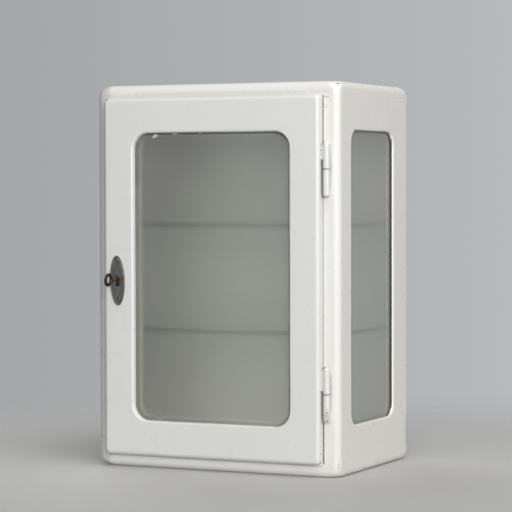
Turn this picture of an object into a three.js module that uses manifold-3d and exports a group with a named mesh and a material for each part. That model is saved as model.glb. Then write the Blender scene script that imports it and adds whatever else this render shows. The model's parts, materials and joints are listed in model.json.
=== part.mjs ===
// Glass door medical cabinet: an enamelled sheet steel body with frosted side panes, glass shelves
// and a glazed door on lift-off hinges, closed by a rim lock with its key.
// Millimetres, +Z up. The front faces -Y, and the origin is the centre of the body's underside.
import * as THREE from 'three';
import { RoundedBoxGeometry } from 'three/addons/geometries/RoundedBoxGeometry.js';
import { mergeVertices } from 'three/addons/utils/BufferGeometryUtils.js';
import Module from 'manifold-3d';

const wasm = await Module();
wasm.setup();

// Body
const bodyWidth = 417;
const bodyDepth = 283.5;
const bodyHeight = 600;
const bodyEdgeRadius = 11;
const sheet = 1.5;
const rearFlange = 26;

// Door and the strip of body front that it leaves bare
const doorMarginLeft = 21;
const doorMarginRight = 26.5;
const doorMarginTop = 21;
const doorMarginBottom = 21;
const doorThickness = 15;
const doorGap = 1;
const doorOverlap = 6;
const doorEdgeRadius = 6;
const doorCornerRadius = 8;
const doorFlange = 15;

// Door window, measured from the door's edges
const doorStileLeft = 51.5;
const doorStileRight = 49.5;
const doorRailTop = 54.5;
const doorRailBottom = 54.5;
const doorWindowCorner = 25;
const doorWindowEdge = 3.5;
const doorPaneSetback = 9;
const doorPaneThickness = 4;
const doorFrameClearance = 3;
const doorFrameLip = 6;

// Side windows, measured from the body's edges
const sideStileFront = 48.25;
const sideStileRear = 64.75;
const sideRailTop = 73;
const sideRailBottom = 75;
const sideWindowCorner = 21;
const sideWindowEdge = 2.5;
const sidePaneSetback = 6.5;
const sidePaneThickness = 4;
const paneFrameReach = 18;
const paneFrameLip = 2.5;

// How the panes sit behind their windows
const paneLap = 8;
const paneCorner = 4;
const frameSightLap = 6;
const frameRibLap = 3;

// Shelves and their brackets
const shelfHeights = { lower: 213, upper: 378 };
const shelfThickness = 6;
const shelfSideGap = 16;
const shelfFrontGap = 17.75;
const shelfRearGap = 3;
const bracketWidth = 16;
const bracketReach = 22;
const bracketDrop = 18;
const bracketSheet = 2;
const bracketGap = 2.5;

// Hinges
const hingeRadius = 5.2;
const hingeDome = 4;
const hingeDoorGap = 3.5;
const hingeFaceGap = 1.8;
const hingeFrameLength = 42;
const hingeDoorLength = 40;
const hingeWasher = 1;
const hingePinRadius = 3;
const hingePinDepth = 20;
const hingeInsetBottom = 85;
const hingeInsetTop = 92.5;
const hingeFrameTang = 6;
const hingeDoorTang = 5;
const hingeTangInset = 5;

// Lock, keyhole plate and key
const keyInset = 24.5;
const keyHeight = 296.2;
const keyTurnAtRest = 6;
const keyStemRadius = 2.5;
const keyBowDistance = 29.6;
const keyBowRadius = 8.7;
const keyBowWire = 2;
const keyBitReach = 9.5;
const keyBitThickness = 2.4;
const keyBitLength = 7;
const keyholeRadius = 4.3;
const keyholeRise = 1.3;
const keySlotWidth = 3.4;
const keySlotDrop = 11;
const keyPlateWidth = 26;
const keyPlateHeight = 78;
const keyPlateThickness = 1.5;
const keyPlateEdge = 0.5;
const keyPlateDrop = 2.2;
const keyPlateLean = 2;
const keyPlateScrewSpacing = 57.2;
const lockDepth = 12.5;
const lockWall = 1.2;
const lockWidth = 39.5;
const lockBelowKey = 30;
const lockEar = 10;
const boltHeight = 12;
const boltTravel = 8;
const boltLegDrop = 5.5;
const boltLegWidth = 3;

// Screws
const panHead = { headRadius: 2.8, headHeight: 1.8, shankRadius: 1.5 };
const frameScrewLength = 5;
const plateScrew = { headRadius: 3.2, headHeight: 1.3, shankRadius: 1.5 };
const plateScrewLength = 7;
const frameScrewInset = 3;
const frameScrewEndInset = 30;
const lockScrewGap = 40;
const paneScrewEndInset = 40;
const slotWidth = 0.8;
const slotDepth = 0.8;

// Fits
const clearance = 0.3;
const cutMargin = 0.02;

// Fineness of curves: steps in a quarter turn, and round an axis
const cornerSteps = 3;
const bevelSteps = 4;
const turnSteps = 16;
const screwSteps = 8;

// Places worked out from the sizes above
const right = bodyWidth / 2;
const front = -bodyDepth / 2;
const back = bodyDepth / 2;
const doorBack = front - doorGap;
const doorFace = doorBack - doorThickness;
const door = {
  u0: -right + doorMarginLeft,
  u1: right - doorMarginRight,
  v0: doorMarginBottom,
  v1: bodyHeight - doorMarginTop,
};
const opening = grow(door, -doorOverlap);
const doorWindow = {
  u0: door.u0 + doorStileLeft,
  u1: door.u1 - doorStileRight,
  v0: door.v0 + doorRailBottom,
  v1: door.v1 - doorRailTop,
};
const doorPaneFront = doorFace + doorPaneSetback;
const doorPaneBack = doorPaneFront + doorPaneThickness;
const doorFrameOutline = grow(opening, -doorFrameClearance);
const doorFrameBack = doorBack + sheet;
const sideWindow = {
  u0: front + sideStileFront,
  u1: back - sideStileRear,
  v0: sideRailBottom,
  v1: bodyHeight - sideRailTop,
};
const sidePaneFace = right - sidePaneSetback;
const sidePaneInside = sidePaneFace - sidePaneThickness;
const paneFrameInside = sidePaneInside - paneFrameLip;
const hingeAxis = {
  x: door.u1 + hingeDoorGap + hingeRadius,
  y: front - hingeFaceGap - hingeRadius,
};
const hingeHeight = hingeFrameLength + hingeWasher + hingeDoorLength;
const hingeBases = { lower: hingeInsetBottom, upper: bodyHeight - hingeInsetTop - hingeHeight };
const keyX = door.u0 + keyInset;
const lockLeft = doorFrameOutline.u0;
const lockCoverBack = doorFrameBack + lockWall;
const lockBack = lockCoverBack + lockDepth;
const boltBottom = keyHeight + keyBitReach + 2 * clearance;
const boltTop = boltBottom + boltHeight;
const lockBox = {
  u0: lockLeft,
  u1: lockLeft + lockWidth,
  v0: keyHeight - lockBelowKey,
  v1: boltTop + clearance + lockWall,
};
const lockInside = grow(lockBox, -lockWall);
const lockPlate = { ...lockBox, v0: lockBox.v0 - lockEar, v1: lockBox.v1 + lockEar };

// Materials
const enamel = { color: 0xdcddda, roughness: 0.28, metalness: 0 };
const frostedGlass = { color: 0xa6aaa3, roughness: 0.55, metalness: 0 };
const shelfGlass = { color: 0xb4c2bb, roughness: 0.1, metalness: 0 };
const darkSteel = { color: 0x5c5d5a, roughness: 0.45, metalness: 0.9 };
const blackenedIron = { color: 0x2c2622, roughness: 0.5, metalness: 0.8 };
const brightSteel = { color: 0xa9aaa8, roughness: 0.35, metalness: 0.9 };
const brassRing = { color: 0x8f7a4a, roughness: 0.4, metalness: 0.9 };

function grow(rect, by) {
  return { u0: rect.u0 - by, u1: rect.u1 + by, v0: rect.v0 - by, v1: rect.v1 + by };
}

// Turns a closed geometry into a solid with shared corners and faces pointing out.
function solid(geometry) {
  geometry.deleteAttribute('normal');
  geometry.deleteAttribute('uv');
  const merged = mergeVertices(geometry);
  const corners = merged.index.array;
  const triangles = [];
  const point = new THREE.Vector3();
  const next = new THREE.Vector3();
  const last = new THREE.Vector3();
  let volume = 0;
  for (let i = 0; i < corners.length; i += 3) {
    const [a, b, c] = [corners[i], corners[i + 1], corners[i + 2]];
    if (a === b || b === c || c === a) continue;
    triangles.push(a, b, c);
    point.fromBufferAttribute(merged.attributes.position, a);
    next.fromBufferAttribute(merged.attributes.position, b);
    last.fromBufferAttribute(merged.attributes.position, c);
    volume += point.dot(next.cross(last));
  }
  if (volume < 0) triangles.reverse();
  return new wasm.Manifold(new wasm.Mesh({
    numProp: 3,
    vertProperties: new Float32Array(merged.attributes.position.array),
    triVerts: new Uint32Array(triangles),
  }));
}

function block([x0, x1], [y0, y1], [z0, z1]) {
  const geometry = new THREE.BoxGeometry(x1 - x0, y1 - y0, z1 - z0);
  return solid(geometry.translate((x0 + x1) / 2, (y0 + y1) / 2, (z0 + z1) / 2));
}

function roundedRect({ u0, u1, v0, v1 }, radius) {
  const shape = new THREE.Shape();
  shape.moveTo(u0 + radius, v0);
  shape.lineTo(u1 - radius, v0);
  shape.absarc(u1 - radius, v0 + radius, radius, -Math.PI / 2, 0, false);
  shape.absarc(u1 - radius, v1 - radius, radius, 0, Math.PI / 2, false);
  shape.absarc(u0 + radius, v1 - radius, radius, Math.PI / 2, Math.PI, false);
  shape.absarc(u0 + radius, v0 + radius, radius, Math.PI, 1.5 * Math.PI, false);
  return shape;
}

function ring(outer, outerRadius, inner, innerRadius) {
  const shape = roundedRect(outer, outerRadius);
  shape.holes.push(roundedRect(inner, innerRadius));
  return shape;
}

// Extrudes an outline drawn in X and Z along Y.
const frontPlane = new THREE.Matrix4().makeBasis(
  new THREE.Vector3(1, 0, 0),
  new THREE.Vector3(0, 0, 1),
  new THREE.Vector3(0, -1, 0),
);

function frontGeometry(shape, y0, y1, bevel) {
  const depth = y1 - y0 - 2 * (bevel?.bevelThickness ?? 0);
  const options = { depth, curveSegments: cornerSteps, bevelEnabled: false, ...bevel };
  const geometry = new THREE.ExtrudeGeometry(shape, options).applyMatrix4(frontPlane);
  return geometry.translate(0, y1 - (bevel?.bevelThickness ?? 0), 0);
}

function frontSlab(shape, y0, y1, bevel) {
  return solid(frontGeometry(shape, y0, y1, bevel));
}

// Extrudes an outline drawn in Y and Z along X.
const sidePlane = new THREE.Matrix4().makeBasis(
  new THREE.Vector3(0, 1, 0),
  new THREE.Vector3(0, 0, 1),
  new THREE.Vector3(1, 0, 0),
);

function sideSlab(shape, x0, x1, bevel) {
  const inset = bevel?.bevelThickness ?? 0;
  const options = { depth: x1 - x0 - 2 * inset, curveSegments: cornerSteps, bevelEnabled: false, ...bevel };
  const geometry = new THREE.ExtrudeGeometry(shape, options).applyMatrix4(sidePlane);
  return solid(geometry.translate(x0 + inset, 0, 0));
}

// The bevel that rounds the ends of an extrusion inwards, and the one that flares them for a cut.
function roundedEnds(radius) {
  return {
    bevelEnabled: true,
    bevelThickness: radius,
    bevelSize: radius,
    bevelOffset: -radius,
    bevelSegments: bevelSteps,
  };
}

function flaredEnds(radius) {
  return {
    bevelEnabled: true,
    bevelThickness: radius,
    bevelSize: -radius,
    bevelOffset: 0,
    bevelSegments: bevelSteps,
  };
}

// A slab with rounded front edges and a square back.
function roundFrontedSlab(shape, radius, y0, y1) {
  const whole = frontSlab(shape, y0, y1 + 2 * radius, roundedEnds(radius));
  const behind = block([-bodyWidth, bodyWidth], [y1, y1 + 3 * radius], [-bodyHeight, 2 * bodyHeight]);
  return whole.subtract(behind);
}

// A solid of revolution about the line through (x, z) along Y; points are [radius, y].
function turnedAlongY(points, x, z, steps = turnSteps) {
  const profile = points.map(([radius, y]) => new THREE.Vector2(radius, y));
  return solid(new THREE.LatheGeometry(profile, steps).translate(x, 0, z));
}

function turnedAlongX(points, y, z, steps = turnSteps) {
  const profile = points.map(([radius, x]) => new THREE.Vector2(radius, x));
  return solid(new THREE.LatheGeometry(profile, steps).rotateZ(-Math.PI / 2).translate(0, y, z));
}

function turnedAlongZ(points, x, y, steps = turnSteps) {
  const profile = points.map(([radius, z]) => new THREE.Vector2(radius, z));
  return solid(new THREE.LatheGeometry(profile, steps).rotateX(Math.PI / 2).translate(x, y, 0));
}

function rod(radius, from, to) {
  return [[0, from], [radius, from], [radius, to], [0, to]];
}

// A geometry's mirror image on the other side of the body.
function mirrored(part) {
  const geometry = geometryOf(part).scale(-1, 1, 1);
  return solid(geometry);
}

function geometryOf(part) {
  const mesh = part.getMesh();
  const geometry = new THREE.BufferGeometry();
  geometry.setAttribute('position', new THREE.BufferAttribute(new Float32Array(mesh.vertProperties), 3));
  geometry.setIndex(new THREE.BufferAttribute(new Uint32Array(mesh.triVerts), 1));
  return geometry;
}

const cabinet = new THREE.Group();

function add(name, part, finish) {
  const geometry = geometryOf(part);
  geometry.computeVertexNormals();
  const mesh = new THREE.Mesh(geometry, new THREE.MeshStandardMaterial(finish));
  mesh.name = name;
  cabinet.add(mesh);
  return mesh;
}

// Body: pressed top and bottom pans, whose skirts are the rails above and below the door
function roundedBlock(inset) {
  const geometry = new RoundedBoxGeometry(
    bodyWidth - 2 * inset,
    bodyDepth - 2 * inset,
    bodyHeight - 2 * inset,
    cornerSteps,
    bodyEdgeRadius - inset,
  );
  return solid(geometry.translate(0, 0, bodyHeight / 2));
}

function pan(z0, z1) {
  const shell = roundedBlock(0).subtract(roundedBlock(sheet));
  return shell.intersect(block([-bodyWidth, bodyWidth], [-bodyDepth, bodyDepth], [z0, z1]));
}

// A side panel: front stile, rounded front edge, side sheet, rounded rear edge and rear flange
function sideSection(stileEdge) {
  const corner = right - bodyEdgeRadius;
  const insideRadius = bodyEdgeRadius - sheet;
  const section = new THREE.Shape();
  section.moveTo(stileEdge, front);
  section.lineTo(corner, front);
  section.absarc(corner, front + bodyEdgeRadius, bodyEdgeRadius, -Math.PI / 2, 0, false);
  section.absarc(corner, back - bodyEdgeRadius, bodyEdgeRadius, 0, Math.PI / 2, false);
  section.lineTo(right - rearFlange, back);
  section.lineTo(right - rearFlange, back - sheet);
  section.lineTo(corner, back - sheet);
  section.absarc(corner, back - bodyEdgeRadius, insideRadius, Math.PI / 2, 0, true);
  section.absarc(corner, front + bodyEdgeRadius, insideRadius, 0, -Math.PI / 2, true);
  section.lineTo(stileEdge, front + sheet);
  return section;
}

function sidePanel(stileEdge) {
  const height = opening.v1 - opening.v0;
  const options = { depth: height, curveSegments: cornerSteps, bevelEnabled: false };
  const geometry = new THREE.ExtrudeGeometry(sideSection(stileEdge), options);
  const panel = solid(geometry.translate(0, 0, opening.v0));
  const lipOutline = ring(
    grow(sideWindow, sheet),
    sideWindowCorner + sheet,
    grow(sideWindow, -sheet),
    sideWindowCorner - sheet,
  );
  const lip = sideSlab(lipOutline, sidePaneFace, right - sheet / 2);
  const flared = roundedRect(grow(sideWindow, sideWindowEdge), sideWindowCorner + sideWindowEdge);
  const cutDepth = sidePaneSetback + 2 * sideWindowEdge;
  const cut = sideSlab(flared, right - cutDepth, right + cutMargin, flaredEnds(sideWindowEdge));
  return panel.add(lip).subtract(cut);
}

function bodyPieces() {
  add('bottom_pan', pan(-cutMargin, opening.v0), enamel);
  add('top_pan', pan(opening.v1, bodyHeight + cutMargin), enamel);
  add('right_side_panel', sidePanel(opening.u1), enamel);
  add('left_side_panel', mirrored(sidePanel(-opening.u0)), enamel);
  const sheetSpan = right - bodyEdgeRadius;
  const backPanel = block(
    [-sheetSpan, sheetSpan],
    [back - 2 * sheet, back - sheet],
    [bodyEdgeRadius, bodyHeight - bodyEdgeRadius],
  );
  add('back_panel', backPanel, enamel);
}

// Screws with a slotted head; the shank runs from the head's seat towards its tip
function screwProfile(seat, direction, { headRadius, headHeight, shankRadius }, length) {
  const tip = seat - direction * length;
  const top = seat + direction * headHeight;
  const shoulder = seat + direction * headHeight * 0.5;
  return [
    [0, tip],
    [shankRadius, tip],
    [shankRadius, seat],
    [headRadius, seat],
    [headRadius, shoulder],
    [headRadius * 0.7, top],
    [0, top],
  ];
}

function countersunkProfile(face, { headRadius, headHeight, shankRadius }, length, gap) {
  return [
    [0, face],
    [headRadius + gap, face],
    [shankRadius + gap, face + headHeight + gap],
    [shankRadius + gap, face + length + gap],
    [0, face + length + gap],
  ];
}

// Side panes, each held against its window's lip by a screwed frame
function sidePane() {
  return sideSlab(roundedRect(grow(sideWindow, paneLap), paneCorner), sidePaneInside, sidePaneFace);
}

function paneFrameScrewPlaces() {
  const inset = (paneFrameReach + paneLap + clearance) / 2;
  const places = [];
  for (const y of [sideWindow.u0 - inset, sideWindow.u1 + inset]) {
    for (const z of [sideWindow.v0 + paneScrewEndInset, sideWindow.v1 - paneScrewEndInset]) {
      places.push({ y, z });
    }
  }
  return places;
}

function paneFrame() {
  const outline = ring(
    grow(sideWindow, paneFrameReach),
    paneCorner,
    grow(sideWindow, -frameSightLap),
    sideWindowCorner - frameSightLap,
  );
  const bar = sideSlab(outline, paneFrameInside, right - sheet);
  const pocket = sideSlab(
    roundedRect(grow(sideWindow, paneLap + clearance), paneCorner + clearance),
    sidePaneInside,
    right,
  );
  let frame = bar.subtract(pocket);
  for (const { y, z } of paneFrameScrewPlaces()) {
    const hole = rod(panHead.shankRadius + clearance, paneFrameInside - 1, right);
    frame = frame.subtract(turnedAlongX(hole, y, z, screwSteps));
  }
  return frame;
}

function paneFrameScrew({ y, z }) {
  const length = right - sheet - paneFrameInside;
  const profile = screwProfile(paneFrameInside, -1, panHead, length);
  const top = paneFrameInside - panHead.headHeight;
  const slot = block(
    [top - 1, top + slotDepth],
    [y - slotWidth / 2, y + slotWidth / 2],
    [z - 2 * panHead.headRadius, z + 2 * panHead.headRadius],
  );
  return turnedAlongX(profile, y, z, screwSteps).subtract(slot);
}

function sidePanePieces() {
  add('right_pane', sidePane(), frostedGlass);
  add('left_pane', mirrored(sidePane()), frostedGlass);
  add('right_pane_frame', paneFrame(), enamel);
  add('left_pane_frame', mirrored(paneFrame()), enamel);
  paneFrameScrewPlaces().forEach((place, index) => {
    add(`right_pane_frame_screw_${index + 1}`, paneFrameScrew(place), brightSteel);
    add(`left_pane_frame_screw_${index + 1}`, mirrored(paneFrameScrew(place)), brightSteel);
  });
}

// Glass shelves on angle brackets fixed to the side panels
function shelf(z) {
  return block(
    [-right + shelfSideGap, right - shelfSideGap],
    [front + shelfFrontGap, back - 2 * sheet - shelfRearGap],
    [z, z + shelfThickness],
  );
}

function bracket(y, z) {
  const wall = right - sheet;
  const span = [y - bracketWidth / 2, y + bracketWidth / 2];
  const upright = block([wall - bracketSheet, wall], span, [z - bracketDrop, z]);
  const seat = block([wall - bracketReach, wall], span, [z - bracketSheet, z]);
  return upright.add(seat);
}

function shelfPieces() {
  const offset = paneFrameReach + bracketGap + bracketWidth / 2;
  const places = { front: sideWindow.u0 - offset, rear: sideWindow.u1 + offset };
  for (const [level, z] of Object.entries(shelfHeights)) {
    add(`${level}_shelf`, shelf(z), shelfGlass);
    for (const [end, y] of Object.entries(places)) {
      add(`${level}_shelf_bracket_${end}_right`, bracket(y, z), enamel);
      add(`${level}_shelf_bracket_${end}_left`, mirrored(bracket(y, z)), enamel);
    }
  }
}

// Lift-off hinges: a knuckle with a pin on the body, a knuckle over the pin on the door
function knuckleProfile(domeEnd, flatEnd) {
  const inwards = Math.sign(flatEnd - domeEnd);
  const points = [];
  for (let step = 0; step <= bevelSteps; step += 1) {
    const angle = (step / bevelSteps) * (Math.PI / 2);
    points.push([hingeRadius * Math.sin(angle), domeEnd + inwards * hingeDome * (1 - Math.cos(angle))]);
  }
  points.push([hingeRadius, flatEnd], [0, flatEnd]);
  return points;
}

function hingeBore(z0, z1) {
  return turnedAlongZ(rod(hingePinRadius + clearance, z0, z1), hingeAxis.x, hingeAxis.y);
}

function hingePieces(place, base) {
  const split = base + hingeFrameLength;
  const seat = split + hingeWasher;
  const top = base + hingeHeight;
  const { x, y } = hingeAxis;

  const frameTang = block(
    [x - hingeFrameTang / 2, x + hingeFrameTang / 2],
    [y, front],
    [base + hingeTangInset, split - hingeTangInset],
  );
  const frameKnuckle = turnedAlongZ(knuckleProfile(base, split), x, y)
    .add(frameTang)
    .subtract(hingeBore(split - hingePinDepth, split + cutMargin));
  add(`${place}_hinge_frame_knuckle`, frameKnuckle, enamel);

  const doorTang = block(
    [door.u1, x],
    [y - hingeDoorTang / 2, y + hingeDoorTang / 2],
    [seat + hingeTangInset, top - hingeTangInset],
  );
  const doorKnuckle = turnedAlongZ(knuckleProfile(top, seat), x, y)
    .add(doorTang)
    .subtract(hingeBore(seat - cutMargin, seat + hingePinDepth));
  add(`${place}_hinge_door_knuckle`, doorKnuckle, enamel);

  const pinProfile = rod(hingePinRadius, split - hingePinDepth, seat + hingePinDepth - clearance);
  add(`${place}_hinge_pin`, turnedAlongZ(pinProfile, x, y), brightSteel);

  const washerProfile = rod(hingeRadius, split, seat);
  const washer = turnedAlongZ(washerProfile, x, y).subtract(hingeBore(split - 1, seat + 1));
  add(`${place}_hinge_washer`, washer, brassRing);
}

// The keyhole's cut through a plate: the key rests low in its round part
function keyhole(y0, y1) {
  const middle = keyHeight + keyholeRise;
  const round = turnedAlongY(rod(keyholeRadius, y0, y1), keyX, middle);
  const slot = block(
    [keyX - keySlotWidth / 2, keyX + keySlotWidth / 2],
    [y0, y1],
    [middle - keySlotDrop, middle],
  );
  return round.add(slot);
}

// Places of the screws that hold the inner frame to the door's rear flange
function doorFrameScrewPlaces() {
  const { u0, u1, v0, v1 } = doorFrameOutline;
  const heights = [
    v0 + frameScrewEndInset,
    lockPlate.v0 - lockScrewGap,
    lockPlate.v1 + lockScrewGap,
    v1 - frameScrewEndInset,
  ];
  return [u0 + frameScrewInset, u1 - frameScrewInset].flatMap((x) => heights.map((z) => ({ x, z })));
}

function keyPlateScrewPlaces() {
  const lean = THREE.MathUtils.degToRad(keyPlateLean);
  const reach = keyPlateScrewSpacing / 2;
  const centre = keyHeight - keyPlateDrop;
  return [1, -1].map((side) => ({
    x: keyX - side * reach * Math.sin(lean),
    z: centre + side * reach * Math.cos(lean),
  }));
}

function lockScrewPlaces() {
  const x = (lockBox.u0 + lockBox.u1) / 2;
  return [lockPlate.v1 - lockEar / 2, lockPlate.v0 + lockEar / 2].map((z) => ({ x, z }));
}

function frontHoles(part, places, radius, y0, y1) {
  const hole = rod(radius, y0, y1);
  return places.reduce((left, { x, z }) => left.subtract(turnedAlongY(hole, x, z, screwSteps)), part);
}

// Door: a sheet pan with a rear flange and a lipped window
function doorPanel() {
  const outside = roundFrontedSlab(roundedRect(door, doorCornerRadius), doorEdgeRadius, doorFace, doorBack);
  const inside = roundFrontedSlab(
    roundedRect(grow(door, -sheet), doorCornerRadius - sheet),
    doorEdgeRadius - sheet,
    doorFace + sheet,
    doorBack - sheet,
  );
  const flangeCut = frontSlab(
    roundedRect(grow(door, -doorFlange), paneCorner),
    doorBack - 2 * sheet,
    doorBack + cutMargin,
  );
  const lipOutline = ring(
    grow(doorWindow, sheet),
    doorWindowCorner + sheet,
    grow(doorWindow, -sheet),
    doorWindowCorner - sheet,
  );
  const lip = frontSlab(lipOutline, doorFace + sheet / 2, doorPaneFront);
  const flared = roundedRect(grow(doorWindow, doorWindowEdge), doorWindowCorner + doorWindowEdge);
  const cutDepth = doorPaneSetback + 2 * doorWindowEdge;
  const cut = frontSlab(flared, doorFace - cutMargin, doorFace + cutDepth, flaredEnds(doorWindowEdge));
  let panel = outside.subtract(inside).subtract(flangeCut).add(lip).subtract(cut);
  panel = panel.subtract(keyhole(doorFace - 1, doorFace + 2 * sheet));
  const plateHole = plateScrew.shankRadius + clearance;
  panel = frontHoles(panel, keyPlateScrewPlaces(), plateHole, doorFace - 1, doorFace + 2 * sheet);
  const frameHole = panHead.shankRadius + clearance;
  return frontHoles(panel, doorFrameScrewPlaces(), frameHole, doorBack - 2 * sheet, doorBack + 1);
}

// Inner frame: a sheet behind the door with a rib that clamps the pane and a turned-in edge
function doorInnerFrame() {
  const sight = grow(doorWindow, -frameSightLap);
  const sightCorner = doorWindowCorner - frameSightLap;
  const plateOutline = ring(doorFrameOutline, paneCorner, sight, sightCorner);
  const ribOutline = ring(grow(doorWindow, frameRibLap), doorWindowCorner + frameRibLap, sight, sightCorner);
  const lipOutline = ring(grow(sight, sheet), sightCorner + sheet, sight, sightCorner);
  const plate = frontSlab(plateOutline, doorBack, doorFrameBack);
  const rib = frontSlab(ribOutline, doorPaneBack, doorBack + sheet / 2);
  const lip = frontSlab(lipOutline, doorBack + sheet / 2, doorFrameBack + doorFrameLip);
  let frame = plate.add(rib).add(lip).subtract(keyhole(doorBack - 1, doorFrameBack + 1));
  const hole = panHead.shankRadius + clearance;
  const places = [...doorFrameScrewPlaces(), ...lockScrewPlaces()];
  frame = frontHoles(frame, places, hole, doorBack - 1, doorFrameBack + 1);
  return frame;
}

function rearScrew({ x, z }, seat, length) {
  const top = seat + panHead.headHeight;
  const slot = block(
    [x - 2 * panHead.headRadius, x + 2 * panHead.headRadius],
    [top - slotDepth, top + 1],
    [z - slotWidth / 2, z + slotWidth / 2],
  );
  return turnedAlongY(screwProfile(seat, 1, panHead, length), x, z, screwSteps).subtract(slot);
}

function doorPieces() {
  add('door_panel', doorPanel(), enamel);
  const pane = frontSlab(roundedRect(grow(doorWindow, paneLap), paneCorner), doorPaneFront, doorPaneBack);
  add('door_pane', pane, frostedGlass);
  add('door_inner_frame', doorInnerFrame(), enamel);
  doorFrameScrewPlaces().forEach((place, index) => {
    const screw = rearScrew(place, doorFrameBack, frameScrewLength);
    add(`door_inner_frame_screw_${index + 1}`, screw, brightSteel);
  });
}

// Keyhole plate: a leaning oval with two countersunk screws
function keyPlate() {
  const lean = THREE.MathUtils.degToRad(keyPlateLean);
  const outline = new THREE.Shape();
  outline.absellipse(
    keyX,
    keyHeight - keyPlateDrop,
    keyPlateWidth / 2,
    keyPlateHeight / 2,
    0,
    2 * Math.PI,
    false,
    lean,
  );
  const face = doorFace - keyPlateThickness;
  const options = { ...roundedEnds(keyPlateEdge), bevelSegments: 1, curveSegments: turnSteps };
  let plate = frontSlab(outline, face, doorFace, options).subtract(keyhole(face - 1, doorFace + 1));
  for (const { x, z } of keyPlateScrewPlaces()) {
    const seat = countersunkProfile(face - cutMargin, plateScrew, plateScrewLength, clearance);
    plate = plate.subtract(turnedAlongY(seat, x, z, screwSteps));
  }
  return plate;
}

function keyPlateScrew({ x, z }) {
  const face = doorFace - keyPlateThickness;
  const slot = block(
    [x - 2 * plateScrew.headRadius, x + 2 * plateScrew.headRadius],
    [face - 1, face + slotDepth],
    [z - slotWidth / 2, z + slotWidth / 2],
  );
  const profile = countersunkProfile(face, plateScrew, plateScrewLength, 0);
  return turnedAlongY(profile, x, z, screwSteps).subtract(slot);
}

// Rim lock on the back of the inner frame
function lockCover() {
  const plate = frontSlab(roundedRect(lockPlate, 2), doorFrameBack, lockCoverBack);
  const cut = plate.subtract(keyhole(doorFrameBack - 1, lockCoverBack + 1));
  return frontHoles(cut, lockScrewPlaces(), panHead.shankRadius + clearance, doorFrameBack - 1, lockCoverBack + 1);
}

function lockCase() {
  const { u0, u1, v0, v1 } = lockBox;
  const box = block([u0, u1], [lockCoverBack, lockBack], [v0, v1]);
  const ears = frontSlab(roundedRect(lockPlate, 2), lockCoverBack, lockCoverBack + lockWall);
  const hollow = block(
    [lockInside.u0, lockInside.u1],
    [lockCoverBack - 1, lockBack - lockWall],
    [lockInside.v0, lockInside.v1],
  );
  const mouth = block(
    [u0 - 1, u0 + 2 * lockWall],
    [lockCoverBack - 1, lockBack - lockWall],
    [keyHeight + boltLegDrop - clearance, boltTop + clearance],
  );
  const stemHole = rod(keyStemRadius + clearance, lockBack - 2 * lockWall, lockBack + 1);
  const shell = box.add(ears).subtract(hollow).subtract(mouth).subtract(turnedAlongY(stemHole, keyX, keyHeight));
  const hole = panHead.shankRadius + clearance;
  return frontHoles(shell, lockScrewPlaces(), hole, lockCoverBack - 1, lockCoverBack + 2 * lockWall);
}

// Bolt: a bar over the key with a leg on each side of the bit's sweep
function lockBolt() {
  const depth = [lockCoverBack + clearance, lockBack - lockWall - clearance];
  const legHeight = [keyHeight + boltLegDrop, boltTop];
  const sweep = Math.sqrt((keyBitReach + clearance) ** 2 - boltLegDrop ** 2) + keyBitThickness / 2;
  const rightLeg = keyX + sweep + boltTravel;
  const bar = block([lockBox.u0, rightLeg + boltLegWidth], depth, [boltBottom, boltTop]);
  const leftLeg = block([lockBox.u0, keyX - sweep], depth, legHeight);
  return bar.add(leftLeg).add(block([rightLeg, rightLeg + boltLegWidth], depth, legHeight));
}

function lockPieces() {
  add('key_plate', keyPlate(), darkSteel);
  keyPlateScrewPlaces().forEach((place, index) => {
    add(`key_plate_screw_${index + 1}`, keyPlateScrew(place), brightSteel);
  });
  add('lock_cover', lockCover(), darkSteel);
  add('lock_case', lockCase(), darkSteel);
  lockScrewPlaces().forEach((place, index) => {
    const screw = rearScrew(place, lockCoverBack + lockWall, frameScrewLength + lockWall);
    add(`lock_screw_${index + 1}`, screw, brightSteel);
  });
  add('lock_bolt', lockBolt(), brightSteel);
}

// Key: stem through the keyhole, bit inside the lock, ring bow in front of the door
function keyPiece() {
  const bowCentre = doorFace - keyBowDistance;
  const stem = turnedAlongY(rod(keyStemRadius, bowCentre + keyBowRadius, lockBack), 0, 0);
  const bowGeometry = new THREE.TorusGeometry(keyBowRadius, keyBowWire, bevelSteps * 2, turnSteps + 4);
  const bow = solid(bowGeometry.rotateY(Math.PI / 2).translate(0, bowCentre, 0));
  const bitStart = lockCoverBack + clearance;
  const bit = block(
    [-keyBitThickness / 2, keyBitThickness / 2],
    [bitStart, bitStart + keyBitLength],
    [-keyBitReach, 0],
  );
  return stem.add(bow).add(bit);
}

bodyPieces();
sidePanePieces();
shelfPieces();
hingePieces('lower', hingeBases.lower);
hingePieces('upper', hingeBases.upper);
doorPieces();
lockPieces();
const key = add('key', keyPiece(), blackenedIron);
key.position.set(keyX, 0, keyHeight);
key.rotation.y = THREE.MathUtils.degToRad(keyTurnAtRest);

export default cabinet;
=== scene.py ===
"""Glass door medical cabinet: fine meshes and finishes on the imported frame, lit like a studio picture."""
import json
import math
from functools import partial

import bmesh
import bpy
from mathutils import Matrix, Vector, noise


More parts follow.
